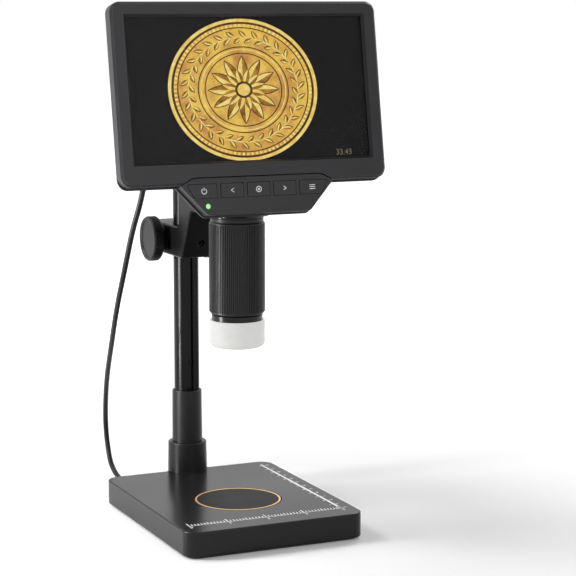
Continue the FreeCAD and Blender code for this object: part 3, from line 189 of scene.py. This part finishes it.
def worn_edges(tree, colour, paler, amount, radius):
    """The colour, made paler within this radius of an edge, partly as wear and partly as a painted highlight
    along the edge.
    """
    bevel = tree.nodes.new("ShaderNodeBevel")
    bevel.samples = EDGE_WEAR_AND_HIGHLIGHT_SAMPLES
    rounded = feed(tree, bevel, {"Radius": radius}).outputs["Normal"]
    flat = tree.nodes.new("ShaderNodeNewGeometry").outputs["Normal"]
    dot = tree.nodes.new("ShaderNodeVectorMath")
    dot.operation = "DOT_PRODUCT"
    cosine = feed(tree, dot, {0: rounded, 1: flat}).outputs["Value"]
    mix = tree.nodes.new("ShaderNodeMix")
    mix.data_type = "RGBA"
    share = value_between(tree, cosine, EDGE_WEAR_AND_HIGHLIGHT_ENDS, 0.0, amount)
    return feed(tree, mix, {"Factor": share, "A": colour, "B": paler}).outputs["Result"]


def material(name, colour, rough, grain=2200.0, bump=0.15, vary=0.10, blotch=45.0,
             metallic=0.0, specular=0.5, edge=0.0, edge_r=0.0005, stretch=None):
    """A moulded, painted or machined surface: fine grain, slow changes of colour and polish, pale edges that
    are partly wear and partly painted highlight.
    """
    surface = bpy.data.materials.new(name)
    surface.use_nodes = True
    tree = surface.node_tree
    place = object_place(tree)
    slow = noise(tree, place, blotch, SLOW_DETAIL)
    shown = colour_between(tree, slow, SLOW_ENDS, scaled(colour, 1 - vary), scaled(colour, 1 + vary))
    if edge > 0:
        # paler edges: partly wear, partly painted highlight along the edges
        shown = worn_edges(tree, shown, scaled(colour, EDGE_WEAR_AND_HIGHLIGHT_GAIN, EDGE_WEAR_AND_HIGHLIGHT_LIFT), edge, edge_r)
    polish = value_between(tree, slow, SLOW_ENDS, rough - POLISH_SWING, rough + POLISH_SWING)
    shader = feed(tree, tree.nodes["Principled BSDF"], {
        "Base Color": shown, "Roughness": polish, "Metallic": metallic, "Specular IOR Level": specular,
    })
    if bump > 0:
        if stretch:
            mapping = tree.nodes.new("ShaderNodeMapping")
            place = feed(tree, mapping, {"Vector": place, "Scale": stretch}).outputs["Vector"]
        relief = feed(tree, tree.nodes.new("ShaderNodeBump"), {
            "Height": noise(tree, place, grain, GRAIN_DETAIL), "Strength": bump, "Distance": GRAIN_DEPTH,
        })
        feed(tree, shader, {"Normal": relief.outputs["Normal"]})
    return surface


def glowing(name, colour, strength, rough=0.4, dark=None, grain=45.0, base=tint(4)):
    """A lit surface, such as a lamp or a picture on the screen, mottled between two colours."""
    surface = material(name, base, rough, bump=0.0, vary=0.04, specular=0.1)
    tree = surface.node_tree
    mottle = noise(tree, object_place(tree), grain, MOTTLE_DETAIL, MOTTLE_ROUGH)
    light = colour_between(tree, mottle, MOTTLE_ENDS, dark or scaled(colour, MOTTLE_DIM), colour)
    feed(tree, tree.nodes["Principled BSDF"], {"Emission Color": light, "Emission Strength": strength})
    return surface


def clear_cover():
    """The clear sheet over the display, which lets the picture through and keeps a soft shine."""
    surface = bpy.data.materials.new("display_clear")
    surface.use_nodes = True
    tree = surface.node_tree
    feed(tree, tree.nodes["Principled BSDF"], {
        "Base Color": (0.02, 0.02, 0.02, 1.0), "Roughness": 0.06, "Specular IOR Level": 0.1, "Alpha": 0.08,
    })
    return surface


# Finishes of the base and the column
# the edge value of a finish sets its paler edges, partly wear and partly painted highlight
shell_black = material("shell_black", tint(24), 0.24, grain=2600, bump=0.04, vary=0.05, blotch=14.0,
                       edge=0.5, edge_r=0.0006, specular=0.22)
plate_black = material("plate_black", tint(40), 0.55, bump=0.2)
rubber_black = material("rubber_black", tint(30), 0.85, grain=1500, bump=0.4)
pan_black = material("pan_black", tint(24), 0.50, grain=1800, bump=0.12, specular=0.10)
column_black = material("column_black", tint(9), 0.20, grain=700, bump=0.02, stretch=(6, 6, 0.6),
                        specular=0.15)
sleeve_black = material("sleeve_black", tint(11), 0.32, grain=2200, bump=0.04, edge=0.3, specular=0.25)
rack_steel = material("rack_steel", tint(52), 0.4, metallic=0.7, grain=1500, bump=0.15)

# Finishes of the carriage and its drive
casting_black = material("casting_black", tint(14), 0.34, grain=1900, bump=0.12, edge=0.2, specular=0.10)
knob_grey = material("knob_grey", tint(22), 0.40, grain=2400, bump=0.12, edge=0.25, specular=0.18)
shaft_steel = material("shaft_steel", tint(170), 0.25, metallic=1.0, stretch=(1, 8, 8), bump=0.1)
brass = material("brass", tint(196, 158, 92), 0.3, metallic=1.0, grain=1200, bump=0.1)
nylon = material("nylon", tint(225, 222, 212), 0.5, bump=0.1)

# Finishes of the screen head
bezel_grey = material("bezel_grey", tint(48, 48, 50), 0.40, grain=2600, bump=0.12, edge=0.3, specular=0.2)
cover_grey = material("cover_grey", tint(44, 44, 46), 0.44, grain=2000, bump=0.25, edge=0.15, specular=0.25)
panel_black = material("panel_black", tint(30, 30, 31), 0.55, bump=0.0, vary=0.03, specular=0.10)
key_grey = material("key_grey", tint(50, 50, 52), 0.40, grain=2600, bump=0.12, edge=0.45, specular=0.2)
light_green = glowing("light_green", tint(190, 255, 180), 0.95)
# painted glow of the status light on the face around it
painted_glow_green = glowing("painted_glow_green", tint(46, 110, 44), 0.9)
cell_silver = material("cell_silver", tint(150, 152, 156), 0.35, grain=500, bump=0.4)
board_green = material("board_green", tint(20, 92, 52), 0.35, grain=900, bump=0.15, vary=0.25)

# Finishes of the camera and its barrel
barrel_black = material("barrel_black", tint(14), 0.22, grain=2000, bump=0.04, edge=0.25, specular=0.20)
ring_black = material("ring_black", tint(28), 0.36, grain=2400, bump=0.10, edge=0.3, edge_r=0.0003,
                      specular=0.22)
sensor_black = material("sensor_black", tint(24, 24, 34), 0.12, bump=0.0)
lens_glass = material("lens_glass", tint(150, 170, 200), 0.08, bump=0.0)
lamp_white = glowing("lamp_white", tint(255, 246, 214), 0.8)
diffuser_white = glowing("diffuser_white", tint(255, 255, 252), 0.56, rough=0.5, base=tint(106, 106, 105))

# Finishes used in several places
screw_steel = material("screw_steel", tint(95), 0.35, metallic=0.9, grain=900, bump=0.1)
screw_black = material("screw_black", tint(18), 0.40, grain=900, bump=0.1, specular=0.2)
bare_aluminium = material("bare_aluminium", tint(190), 0.35, metallic=1.0, stretch=(8, 1, 1), bump=0.15)
cord_black = material("cord_black", tint(16), 0.36, grain=1800, bump=0.12, specular=0.22)
paint_white = material("paint_white", tint(250), 0.6, grain=2000, bump=0.05, vary=0.03)
gilt = material("gilt", tint(255, 200, 130), 0.35, metallic=0.5, bump=0.05, vary=0.06)

# Golds of the picture on the display, from its lightest to its darkest
gold_light = glowing("gold_light", tint(255, 238, 150), 1.0, dark=tint(238, 194, 86), grain=230)
gold_mid = glowing("gold_mid", tint(246, 206, 92), 1.0, dark=tint(196, 136, 72), grain=70)
gold_deep = glowing("gold_deep", tint(190, 140, 52), 1.0, dark=tint(112, 74, 20), grain=220)
gold_shade = glowing("gold_shade", tint(104, 70, 22), 1.0, dark=tint(52, 34, 12), grain=240)
reading_dim = glowing("reading_dim", tint(124, 120, 100), 1.0)

FINISHES = {
    shell_black: "base_shell",
    plate_black: "base_plate",
    rubber_black: "rubber_pad",
    pan_black: "weighing_pan",
    column_black: "column",
    sleeve_black: "column_socket column_collar column_cap pan_carrier",
    rack_steel: "rack rack_stop",
    casting_black: "carriage",
    knob_grey: "knob_left knob_right",
    shaft_steel: "pinion_shaft",
    brass: "pinion pinion_bushes helix_sleeve",
    nylon: "friction_pad lamp_board",
    bezel_grey: "front_bezel key_panel",
    cover_grey: "rear_cover camera_housing",
    panel_black: "display_panel",
    key_grey: "key_power key_left key_select key_right key_menu",
    light_green: "status_light",
    cell_silver: "battery",
    board_green: "scale_board main_board camera_board key_board",
    barrel_black: "barrel_flange barrel_tube barrel_nose",
    ring_black: "focus_ring",
    sensor_black: "image_sensor",
    lens_glass: "lenses",
    lamp_white: "lamps",
    diffuser_white: "diffuser_cap",
    screw_steel: "base_screws cell_screws pan_screw cover_screws flange_screws arm_bolts column_bolt",
    screw_black: "rack_screws tension_screw",
    bare_aluminium: "load_cell lens_cell",
    cord_black: "data_cord cord_plug cord_relief",
}
for finish, names in FINISHES.items():
    for name in names.split():
        nodes[name].data.materials.clear()
        nodes[name].data.materials.append(finish)


# Meshes
LETTER_STEPS = 3


def mesh_object(name, bm, finish):
    """A new object in the scene, made of this mesh."""
    mesh = bpy.data.meshes.new(name)
    bm.normal_update()
    bm.to_mesh(mesh)
    bm.free()
    obj = bpy.data.objects.new(name, mesh)
    scene.collection.objects.link(obj)
    mesh.materials.append(finish)
    return obj


def piece(name, bm, finish, body):
    """A drawn piece of the object, which moves with this body."""
    obj = mesh_object(name, bm, finish)
    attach(obj, body)
    return obj


def add_plate(bm, place, outline, level):
    """A flat plate with this outline, between the two heights of its level."""
    low, high = level
    lower = [bm.verts.new(place @ Vector((x, y, low))) for x, y in outline]
    upper = [bm.verts.new(place @ Vector((x, y, high))) for x, y in outline]
    bm.faces.new(lower[::-1])
    bm.faces.new(upper)
    for i in range(len(outline)):
        k = (i + 1) % len(outline)
        bm.faces.new((lower[i], lower[k], upper[k], upper[i]))


def add_block(bm, place, across, along, level):
    """A block between pairs of a low and a high value."""
    left, right = across
    near, far = along
    add_plate(bm, place, ((left, near), (right, near), (right, far), (left, far)), level)


def add_sections(bm, sections, closed):
    """Walls from each section to the next, and on to the first again or else with an end at each side."""
    pairs = list(zip(sections, sections[1:]))
    if closed:
        pairs.append((sections[-1], sections[0]))
    else:
        bm.faces.new(sections[0])
        bm.faces.new(sections[-1][::-1])
    for a, b in pairs:
        for k in range(len(a)):
            m = (k + 1) % len(a)
            bm.faces.new((a[k], b[k], b[m], a[m]))


def add_ring(bm, place, inner, outer, level, steps, start=0.0, sweep=TURN, half=(1.0, 1.0)):
    """A flat ring or a part of one. Its radii are shares of the half axes where these are given."""
    low, high = level
    closed = sweep == TURN
    sections = []
    for i in range(steps if closed else steps + 1):
        angle = start + sweep * i / steps
        x, y = half[0] * math.cos(angle), half[1] * math.sin(angle)
        sections.append([bm.verts.new(place @ Vector((r * x, r * y, z)))
                         for r, z in ((inner, low), (outer, low), (outer, high), (inner, high))])
    add_sections(bm, sections, closed)


def add_text(bm, words, size, place, height):
    """Plain characters of this height above the surface, centred on their place."""
    curve = bpy.data.curves.new("letters", "FONT")
    curve.body = words
    curve.size = size
    curve.align_x = "CENTER"
    curve.align_y = "CENTER"
    curve.extrude = height / 2
    curve.resolution_u = LETTER_STEPS
    carrier = bpy.data.objects.new("letters", curve)
    scene.collection.objects.link(carrier)
    bpy.context.view_layer.update()
    mesh = bpy.data.meshes.new_from_object(carrier)
    mesh.transform(place @ Matrix.Translation((0, 0, height / 2)))
    bm.from_mesh(mesh)
    bpy.data.objects.remove(carrier)
    bpy.data.curves.remove(curve)
    bpy.data.meshes.remove(mesh)


# Cord from the screen head down to the base
CORD_D = 0.0034
CORD_ORDER = 3
CORD_STEPS = 16
CORD_SIDES = 16
CORD_EXIT = Vector((-0.0674, -0.02746, 0.21815))
CORD_ROUTE = [
    CORD_EXIT, Vector((-0.0674, -0.02272, 0.20935)), Vector((-0.0696, -0.0138, 0.1920)),
    Vector((-0.0698, 0.0001, 0.1665)), Vector((-0.0655, 0.0280, 0.1385)), Vector((-0.0584, 0.0592, 0.1100)),
    Vector((-0.0511, 0.0906, 0.0824)), Vector((-0.0454, 0.1111, 0.0589)), Vector((-0.0423, 0.1202, 0.0415)),
    Vector((-0.0413, 0.1195, 0.0270)), Vector((-0.0411, 0.1138, 0.0154)), Vector((-0.0400, 0.1015, 0.0086)),
    Vector((-0.0400, 0.0880, 0.0086)),
]


def smooth_line(points, steps):
    """Points along the smooth curve that these points steer."""
    curve = bpy.data.curves.new("route", "CURVE")
    curve.dimensions = "3D"
    curve.resolution_u = steps
    spline = curve.splines.new("NURBS")
    spline.points.add(len(points) - 1)
    for target, point in zip(spline.points, points):
        target.co = (*point, 1.0)
    spline.order_u = CORD_ORDER
    spline.use_endpoint_u = True
    carrier = bpy.data.objects.new("route", curve)
    scene.collection.objects.link(carrier)
    bpy.context.view_layer.update()
    mesh = bpy.data.meshes.new_from_object(carrier)
    line = [vert.co.copy() for vert in mesh.vertices]
    bpy.data.objects.remove(carrier)
    bpy.data.curves.remove(curve)
    bpy.data.meshes.remove(mesh)
    return line


def add_tube(bm, line, radius, sides):
    """A round tube along a line, its section carried along without twist."""
    sections = []
    side = (line[1] - line[0]).orthogonal().normalized()
    for i, point in enumerate(line):
        along = (line[min(i + 1, len(line) - 1)] - line[max(i - 1, 0)]).normalized()
        side = (side - along * side.dot(along)).normalized()
        up = along.cross(side)
        sections.append([bm.verts.new(point + (side * math.cos(a) - up * math.sin(a)) * radius)
                         for a in (TURN * k / sides for k in range(sides))])
    add_sections(bm, sections, closed=False)


bm = bmesh.new()
cord_line = smooth_line(CORD_ROUTE, CORD_STEPS)
add_tube(bm, cord_line, CORD_D / 2, CORD_SIDES)
cord = mesh_object("cord_tube", bm, cord_black)
for polygon in cord.data.polygons:
    polygon.use_smooth = True
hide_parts("data_cord")
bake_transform(cord)


# Floor, sky and lamps
FLOOR_HALF = 6.0
FLOOR_WHITE = (0.90, 0.90, 0.90, 1.0)
FLOOR_REACH = (0.16, 0.80)    # distances from the middle between which the floor turns to plain white
FLOOR_SHINE = (0.14, 0.95)    # the floor's own light at these two distances
SKY_LIGHT = 0.22
LAMP_AIM = Vector((0, 0.02, 0.20))
LAMPS = (                     # name, place, width, height and power
    ("lamp_key", (-0.75, 0.45, 1.05), 0.5, 0.5, 9.0),
    ("lamp_back", (0.80, 0.60, 1.00), 0.4, 0.4, 3.5),
    ("lamp_left", (-0.42, 0.06, 0.13), 0.07, 0.25, 2.2),
    ("lamp_front", (0.10, -1.05, 0.55), 0.6, 0.45, 2.8),
)


def backdrop_share(tree):
    """One for the camera's rays and for those seen in gloss or through glass, else nothing."""
    path = tree.nodes.new("ShaderNodeLightPath")
    share = path.outputs["Is Camera Ray"]
    for kind in ("Is Glossy Ray", "Is Transmission Ray"):
        share = math_node(tree, "MAXIMUM", share, path.outputs[kind])
    return share


def floor_white():
    """A pale surface that keeps shadows near the object and turns to plain white away from it."""
    surface = bpy.data.materials.new("floor_white")
    surface.use_nodes = True
    tree = surface.node_tree
    pale = feed(tree, tree.nodes["Principled BSDF"], {
        "Base Color": FLOOR_WHITE, "Roughness": 0.6, "Specular IOR Level": 0.1,
    })
    away = tree.nodes.new("ShaderNodeVectorMath")
    away.operation = "LENGTH"
    distance = feed(tree, away, {0: object_place(tree)}).outputs["Value"]
    share = value_between(tree, distance, FLOOR_REACH, *FLOOR_SHINE)
    shine = math_node(tree, "MULTIPLY", backdrop_share(tree), share)
    white = feed(tree, tree.nodes.new("ShaderNodeEmission"), {"Strength": shine})
    both = tree.nodes.new("ShaderNodeAddShader")
    feed(tree, both, {0: pale.outputs["BSDF"], 1: white.outputs["Emission"]})
    feed(tree, tree.nodes["Material Output"], {"Surface": both.outputs["Shader"]})
    return surface


def add_sky():
    """A white sky where it is seen, and a dimmer one for the light that it gives."""
    world = bpy.data.worlds.new("sky")
    scene.world = world
    world.use_nodes = True
    tree = world.node_tree
    lit = feed(tree, tree.nodes["Background"], {"Color": WHITE, "Strength": SKY_LIGHT})
    seen = feed(tree, tree.nodes.new("ShaderNodeBackground"), {"Color": WHITE, "Strength": 1.0})
    mix = tree.nodes.new("ShaderNodeMixShader")
    feed(tree, mix, {0: backdrop_share(tree), 1: lit.outputs["Background"], 2: seen.outputs["Background"]})
    feed(tree, tree.nodes["World Output"], {"Surface": mix.outputs["Shader"]})


bm = bmesh.new()
bmesh.ops.create_grid(bm, x_segments=1, y_segments=1, size=FLOOR_HALF)
floor = mesh_object("floor", bm, floor_white())
add_sky()
for name, place, width, height, power in LAMPS:
    lamp = bpy.data.lights.new(name, "AREA")
    lamp.shape = "RECTANGLE"
    lamp.size = width
    lamp.size_y = height
    lamp.energy = power
    put_aimed(name, lamp, Vector(place), LAMP_AIM).visible_camera = False


# Rulers on the base: inches along its front and centimetres along its right side
PRINT = (0.01, 0.05)          # heights of printed paint above its surface
INCH = 25.4
INCHES = 4
INCH_PARTS = 12
CM = 10.0
CM_MARKS = 13
CM_START = 1.5
RULER_INSET = (9.25, 15.3)    # the rulers' common corner, from the base's right and front sides
FRONT_LINE = 0.25             # half the breadths of the two base lines and of a mark
SIDE_LINE = 0.8
MARK = 0.27
SIDE_LENGTH = 125.4
INCH_MARK = 6.0
HALF_INCH_MARK = 4.2
PART_MARK = 3.4
CM_MARK = 3.0
INCH_DIGIT = 4.2
CM_DIGIT = 3.4
DIGIT_AWAY = 3.0


def inch_mark(i):
    """Length of a mark, by its count from the corner."""
    if i % INCH_PARTS == 0:
        return INCH_MARK
    return HALF_INCH_MARK if i % (INCH_PARTS // 2) == 0 else PART_MARK


def add_inches(bm, corner):
    """Marks, base line and digits along the front, which count up to the corner."""
    for i in range(INCHES * INCH_PARTS + 1):
        x = -i * INCH / INCH_PARTS
        add_block(bm, corner, (x - MARK, x + MARK), (0, inch_mark(i)), PRINT)
    add_block(bm, corner, (-INCHES * INCH - MARK, 0), (-FRONT_LINE, FRONT_LINE), PRINT)
    for i in range(INCHES + 1):
        add_text(bm, str(INCHES - i), INCH_DIGIT, shifted(corner, -i * INCH, -DIGIT_AWAY), PRINT[1])


def add_centimetres(bm, corner):
    """Marks, base line and digits along the side, which count from the corner to the back."""
    add_block(bm, corner, (-SIDE_LINE, SIDE_LINE), (0, SIDE_LENGTH), PRINT)
    for i in range(CM_MARKS):
        y = CM_START + i * CM
        add_block(bm, corner, (-CM_MARK, 0), (y - MARK, y + MARK), PRINT)
        turned = shifted(corner, DIGIT_AWAY, y) @ Matrix.Rotation(TURN / 4, 4, "Z")
        add_text(bm, str(i), CM_DIGIT, turned, PRINT[1])


bm = bmesh.new()
corner = level_frame(BASE_HIGH.x - RULER_INSET[0] * MM, BASE_LOW.y + RULER_INSET[1] * MM, BASE_HIGH.z)
add_inches(bm, corner)
add_centimetres(bm, corner)
piece("ruler_marks", bm, paint_white, "base")


# Gilt ring near the edge of the pan
PAN_RING = (1.5, 0.3)         # how far inside the pan's edge the ring starts and ends
PAN_RING_LEVEL = (0.0, 0.05)
PAN_RING_STEPS = 128

bm = bmesh.new()
pan_r = (PAN_HIGH.x - PAN_LOW.x) / 2 / MM
pan_top = level_frame((PAN_LOW.x + PAN_HIGH.x) / 2, (PAN_LOW.y + PAN_HIGH.y) / 2, PAN_HIGH.z)
add_ring(bm, pan_top, pan_r - PAN_RING[0], pan_r - PAN_RING[1], PAN_RING_LEVEL, PAN_RING_STEPS)
piece("pan_ring", bm, gilt, "pan")


# Signs on the five keys
KEY_V = -2.6                  # height of the keys' middles on the face
KEY_PITCH = 17.3              # from the select key to its neighbours and to the end keys
KEY_END = 35.6
STROKE = 0.24                 # half the breadth of a stroke
SIGN_RING = (1.35, 1.83)
SIGN_RING_STEPS = 40
SIGN_DOT = (0.02, 0.62)
SIGN_DOT_STEPS = 24
CHEVRON_TIP = 0.9
CHEVRON_ARM = 2.2
CHEVRON_SLOPE = math.radians(32)
POWER_START = math.radians(125)
POWER_SWEEP = math.radians(290)
POWER_BAR = (0.4, 2.2)
MENU_BAR = 1.9
MENU_PITCH = 1.15


def add_chevron(bm, place, side):
    """Two strokes that meet in a point, to the left where the side is -1 and to the right where it is 1."""
    tip = shifted(place, side * CHEVRON_TIP, 0)
    reach = (-CHEVRON_ARM, 0) if side > 0 else (0, CHEVRON_ARM)
    for slope in (-CHEVRON_SLOPE, CHEVRON_SLOPE):
        add_block(bm, tip @ Matrix.Rotation(slope, 4, "Z"), reach, (-STROKE, STROKE), PRINT)


def left_sign(bm, place):
    add_chevron(bm, place, -1)


def right_sign(bm, place):
    add_chevron(bm, place, 1)


def select_sign(bm, place):
    """A dot in a ring."""
    add_ring(bm, place, *SIGN_RING, PRINT, SIGN_RING_STEPS)
    add_ring(bm, place, *SIGN_DOT, PRINT, SIGN_DOT_STEPS)


def power_sign(bm, place):
    """An open ring with an upright bar in its gap."""
    add_ring(bm, place, *SIGN_RING, PRINT, SIGN_RING_STEPS, POWER_START, POWER_SWEEP)
    add_block(bm, place, (-STROKE, STROKE), POWER_BAR, PRINT)


def menu_sign(bm, place):
    """Three level bars."""
    for y in (-MENU_PITCH, 0, MENU_PITCH):
        add_block(bm, place, (-MENU_BAR, MENU_BAR), (y - STROKE, y + STROKE), PRINT)


SIGNS = (
    ("sign_left", "key_left", -KEY_PITCH, left_sign),
    ("sign_right", "key_right", KEY_PITCH, right_sign),
    ("sign_select", "key_select", 0, select_sign),
    ("sign_power", "key_power", -KEY_END, power_sign),
    ("sign_menu", "key_menu", KEY_END, menu_sign),
)
for name, key, u, draw in SIGNS:
    bm = bmesh.new()
    draw(bm, face_frame(u, KEY_V, 0.0))
    piece(name, bm, paint_white, key)


# Painted glow: a dim green ring on the face around the status light, standing for the glow of its light
LIGHT_PLACE = (-33.6, -11.7, 0.0)
LIGHT_R = 1.5
GLOW_GAP = 0.02
GLOW_REACH = 0.45
GLOW_LEVEL = (0.0, 0.05)
GLOW_STEPS = 48

bm = bmesh.new()
# the ring glows green as painted light; it is no lamp and no part of the face
add_ring(bm, face_frame(*LIGHT_PLACE), LIGHT_R + GLOW_GAP, LIGHT_R + GLOW_REACH, GLOW_LEVEL, GLOW_STEPS)
piece("painted_glow_ring", bm, painted_glow_green, "carriage")


# Clear cover over the display
COVER_HALF = 79.0
COVER_V = (12.2, 105.2)
COVER_LEVEL = (-3.30, -2.35)  # heights from the face, so the cover lies below it

bm = bmesh.new()
add_block(bm, face_frame(0, 0, 0), (-COVER_HALF, COVER_HALF), COVER_V, COVER_LEVEL)
cover = piece("display_cover", bm, clear_cover(), "carriage")
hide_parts("display_glass")


# Picture on the display: a plain gold medallion with a wreath and a rosette
PANEL_W = -3.55               # the panel's front, from the face
PICTURE = face_frame(-3.85, 58.0, PANEL_W)
PICTURE_HALF = (48.95, 43.1)  # half its width and half its height, of which all radii below are shares
DISC_STEPS = 160
BUD_STEPS = 48
LEAF_STEPS = 8
LEAF_ROUND = 0.8              # a smaller power makes a fuller leaf
LEAF_TAPER = 0.25             # how much of its breadth a leaf loses to its tip
LEAVES = 30
PETALS = 12
DENTICLES = 96
DENTICLE_SHARE = 0.52         # how much of its spacing each one fills
DENTICLE_R = (0.885, 0.923)
BUD_R = 0.085
LEAN_OUT = math.radians(48)   # how far the wreath's outer and inner leaves turn from the outward line
LEAN_IN = math.radians(132)

# Heights of the layers above the panel's front
FIELD_LEVEL = (0.01, 0.03)
LINE_LEVEL = (0.03, 0.05)
DENTICLE_LEVEL = (0.03, 0.06)
RIM_RING_LEVEL = (0.03, 0.09)
OUTLINE_LEVEL = (0.05, 0.06)
STEM_LEVEL = (0.06, 0.07)
LEAF_LEVEL = (0.07, 0.08)
SMALL_PETAL_LEVEL = (0.09, 0.10)
BUD_RING_LEVEL = (0.12, 0.13)
BUD_LEVEL = (0.12, 0.14)

# Rings: inner radius, outer radius, level and steps
SHADE_RINGS = (
    (0.925, 0.955, LINE_LEVEL, DISC_STEPS),
    (0.865, 0.880, LINE_LEVEL, DISC_STEPS),
    (0.595, 0.610, LINE_LEVEL, DISC_STEPS),
    (0.505, 0.520, LINE_LEVEL, DISC_STEPS),
    (BUD_R, 0.118, BUD_RING_LEVEL, BUD_STEPS),
)
LIGHT_RINGS = (
    (0.957, 1.000, RIM_RING_LEVEL, DISC_STEPS),
    (0.726, 0.742, STEM_LEVEL, DISC_STEPS),
    (0.560, 0.575, LINE_LEVEL, DISC_STEPS),
)

# Rounds of leaves: count, shift, radius of the foot, length, half breadth, lean and level
LEAF_OUTLINES = (
    (LEAVES, 0.0, 0.735, 0.145, 0.036, LEAN_OUT, OUTLINE_LEVEL),
    (LEAVES, 0.5, 0.735, 0.130, 0.034, LEAN_IN, OUTLINE_LEVEL),
    (PETALS, 0.0, 0.100, 0.385, 0.082, 0.0, OUTLINE_LEVEL),
)
LEAF_BODIES = (
    (LEAVES, 0.0, 0.742, 0.128, 0.027, LEAN_OUT, LEAF_LEVEL),
    (LEAVES, 0.5, 0.735, 0.115, 0.026, LEAN_IN, LEAF_LEVEL),
    (PETALS, 0.0, 0.110, 0.355, 0.068, 0.0, LEAF_LEVEL),
    (PETALS, 0.5, 0.060, 0.235, 0.050, 0.0, SMALL_PETAL_LEVEL),
)


def on_disc(r, angle):
    """A point of the picture from its share of the disc's radius and its angle."""
    return (PICTURE_HALF[0] * r * math.cos(angle), PICTURE_HALF[1] * r * math.sin(angle))


def add_rings(bm, rings):
    """Rings of the picture, around its middle."""
    for inner, outer, level, steps in rings:
        add_ring(bm, PICTURE, inner, outer, level, steps, half=PICTURE_HALF)


def add_disc(bm, r, level, steps):
    """A full disc around the middle of the picture."""
    add_plate(bm, PICTURE, [on_disc(r, TURN * i / steps) for i in range(steps)], level)


def leaf_shape(length, breadth, side):
    """A pointed leaf from its foot at the origin, or its left half for a side of 1 or right half for -1."""
    left = []
    for i in range(LEAF_STEPS + 1):
        t = i / LEAF_STEPS
        left.append((length * t, breadth * math.sin(math.pi * t) ** LEAF_ROUND * (1 - LEAF_TAPER * t)))
    right = [(x, -y) for x, y in left[1:-1]]
    if side > 0:
        return left[::-1]
    if side < 0:
        return [left[0]] + right + [left[-1]]
    return [left[0]] + right + left[:0:-1]


def planted(shape, foot, angle, lean):
    """A leaf's outline with its foot at this radius and angle, leaning from the outward line."""
    half_x, half_y = PICTURE_HALF
    foot_x, foot_y = foot * math.cos(angle), foot * math.sin(angle)
    c, s = math.cos(angle + lean), math.sin(angle + lean)
    return [(half_x * (foot_x + c * x - s * y), half_y * (foot_y + s * x + c * y)) for x, y in shape]


def add_leaves(bm, rounds, side=0):
    """Rounds of equal leaves, whole or one half of each."""
    for count, shift, foot, length, breadth, lean, level in rounds:
        shape = leaf_shape(length, breadth, side)
        for i in range(count):
            add_plate(bm, PICTURE, planted(shape, foot, TURN * (i + shift) / count, lean), level)


def draw_field(bm):
    """The gold ground."""
    add_disc(bm, 1.0, FIELD_LEVEL, DISC_STEPS)


def draw_shade(bm):
    """Dark lines, and dark outlines under the leaves."""
    add_rings(bm, SHADE_RINGS)
    add_leaves(bm, LEAF_OUTLINES)


def draw_deep(bm):
    """The shaded half of each leaf."""
    add_leaves(bm, LEAF_BODIES, -1)


def draw_light(bm):
    """The rim, bright lines, denticles, the lit half of each leaf and the middle."""
    add_rings(bm, LIGHT_RINGS)
    inner, outer = DENTICLE_R
    half = TURN / 2 / DENTICLES * DENTICLE_SHARE
    for i in range(DENTICLES):
        a = TURN * i / DENTICLES
        corners = (on_disc(inner, a - half), on_disc(outer, a - half),
                   on_disc(outer, a + half), on_disc(inner, a + half))
        add_plate(bm, PICTURE, corners, DENTICLE_LEVEL)
    add_leaves(bm, LEAF_BODIES, 1)
    add_disc(bm, BUD_R, BUD_LEVEL, BUD_STEPS)


LAYERS = (
    ("picture_field", gold_mid, draw_field),
    ("picture_shade", gold_shade, draw_shade),
    ("picture_deep", gold_deep, draw_deep),
    ("picture_light", gold_light, draw_light),
)
for name, finish, draw in LAYERS:
    bm = bmesh.new()
    draw(bm)
    piece(name, bm, finish, "carriage")


# Plain number at the display's lower right
NUMBER = "33.43"
NUMBER_SIZE = 5.0
NUMBER_PLACE = (60.5, 18.2)
NUMBER_RISE = 0.02            # from the panel's front to the foot of the characters
NUMBER_HEIGHT = 0.03

bm = bmesh.new()
add_text(bm, NUMBER, NUMBER_SIZE, face_frame(*NUMBER_PLACE, PANEL_W + NUMBER_RISE), NUMBER_HEIGHT)
piece("picture_number", bm, reading_dim, "carriage")


scene.view_settings.view_transform = "Standard"
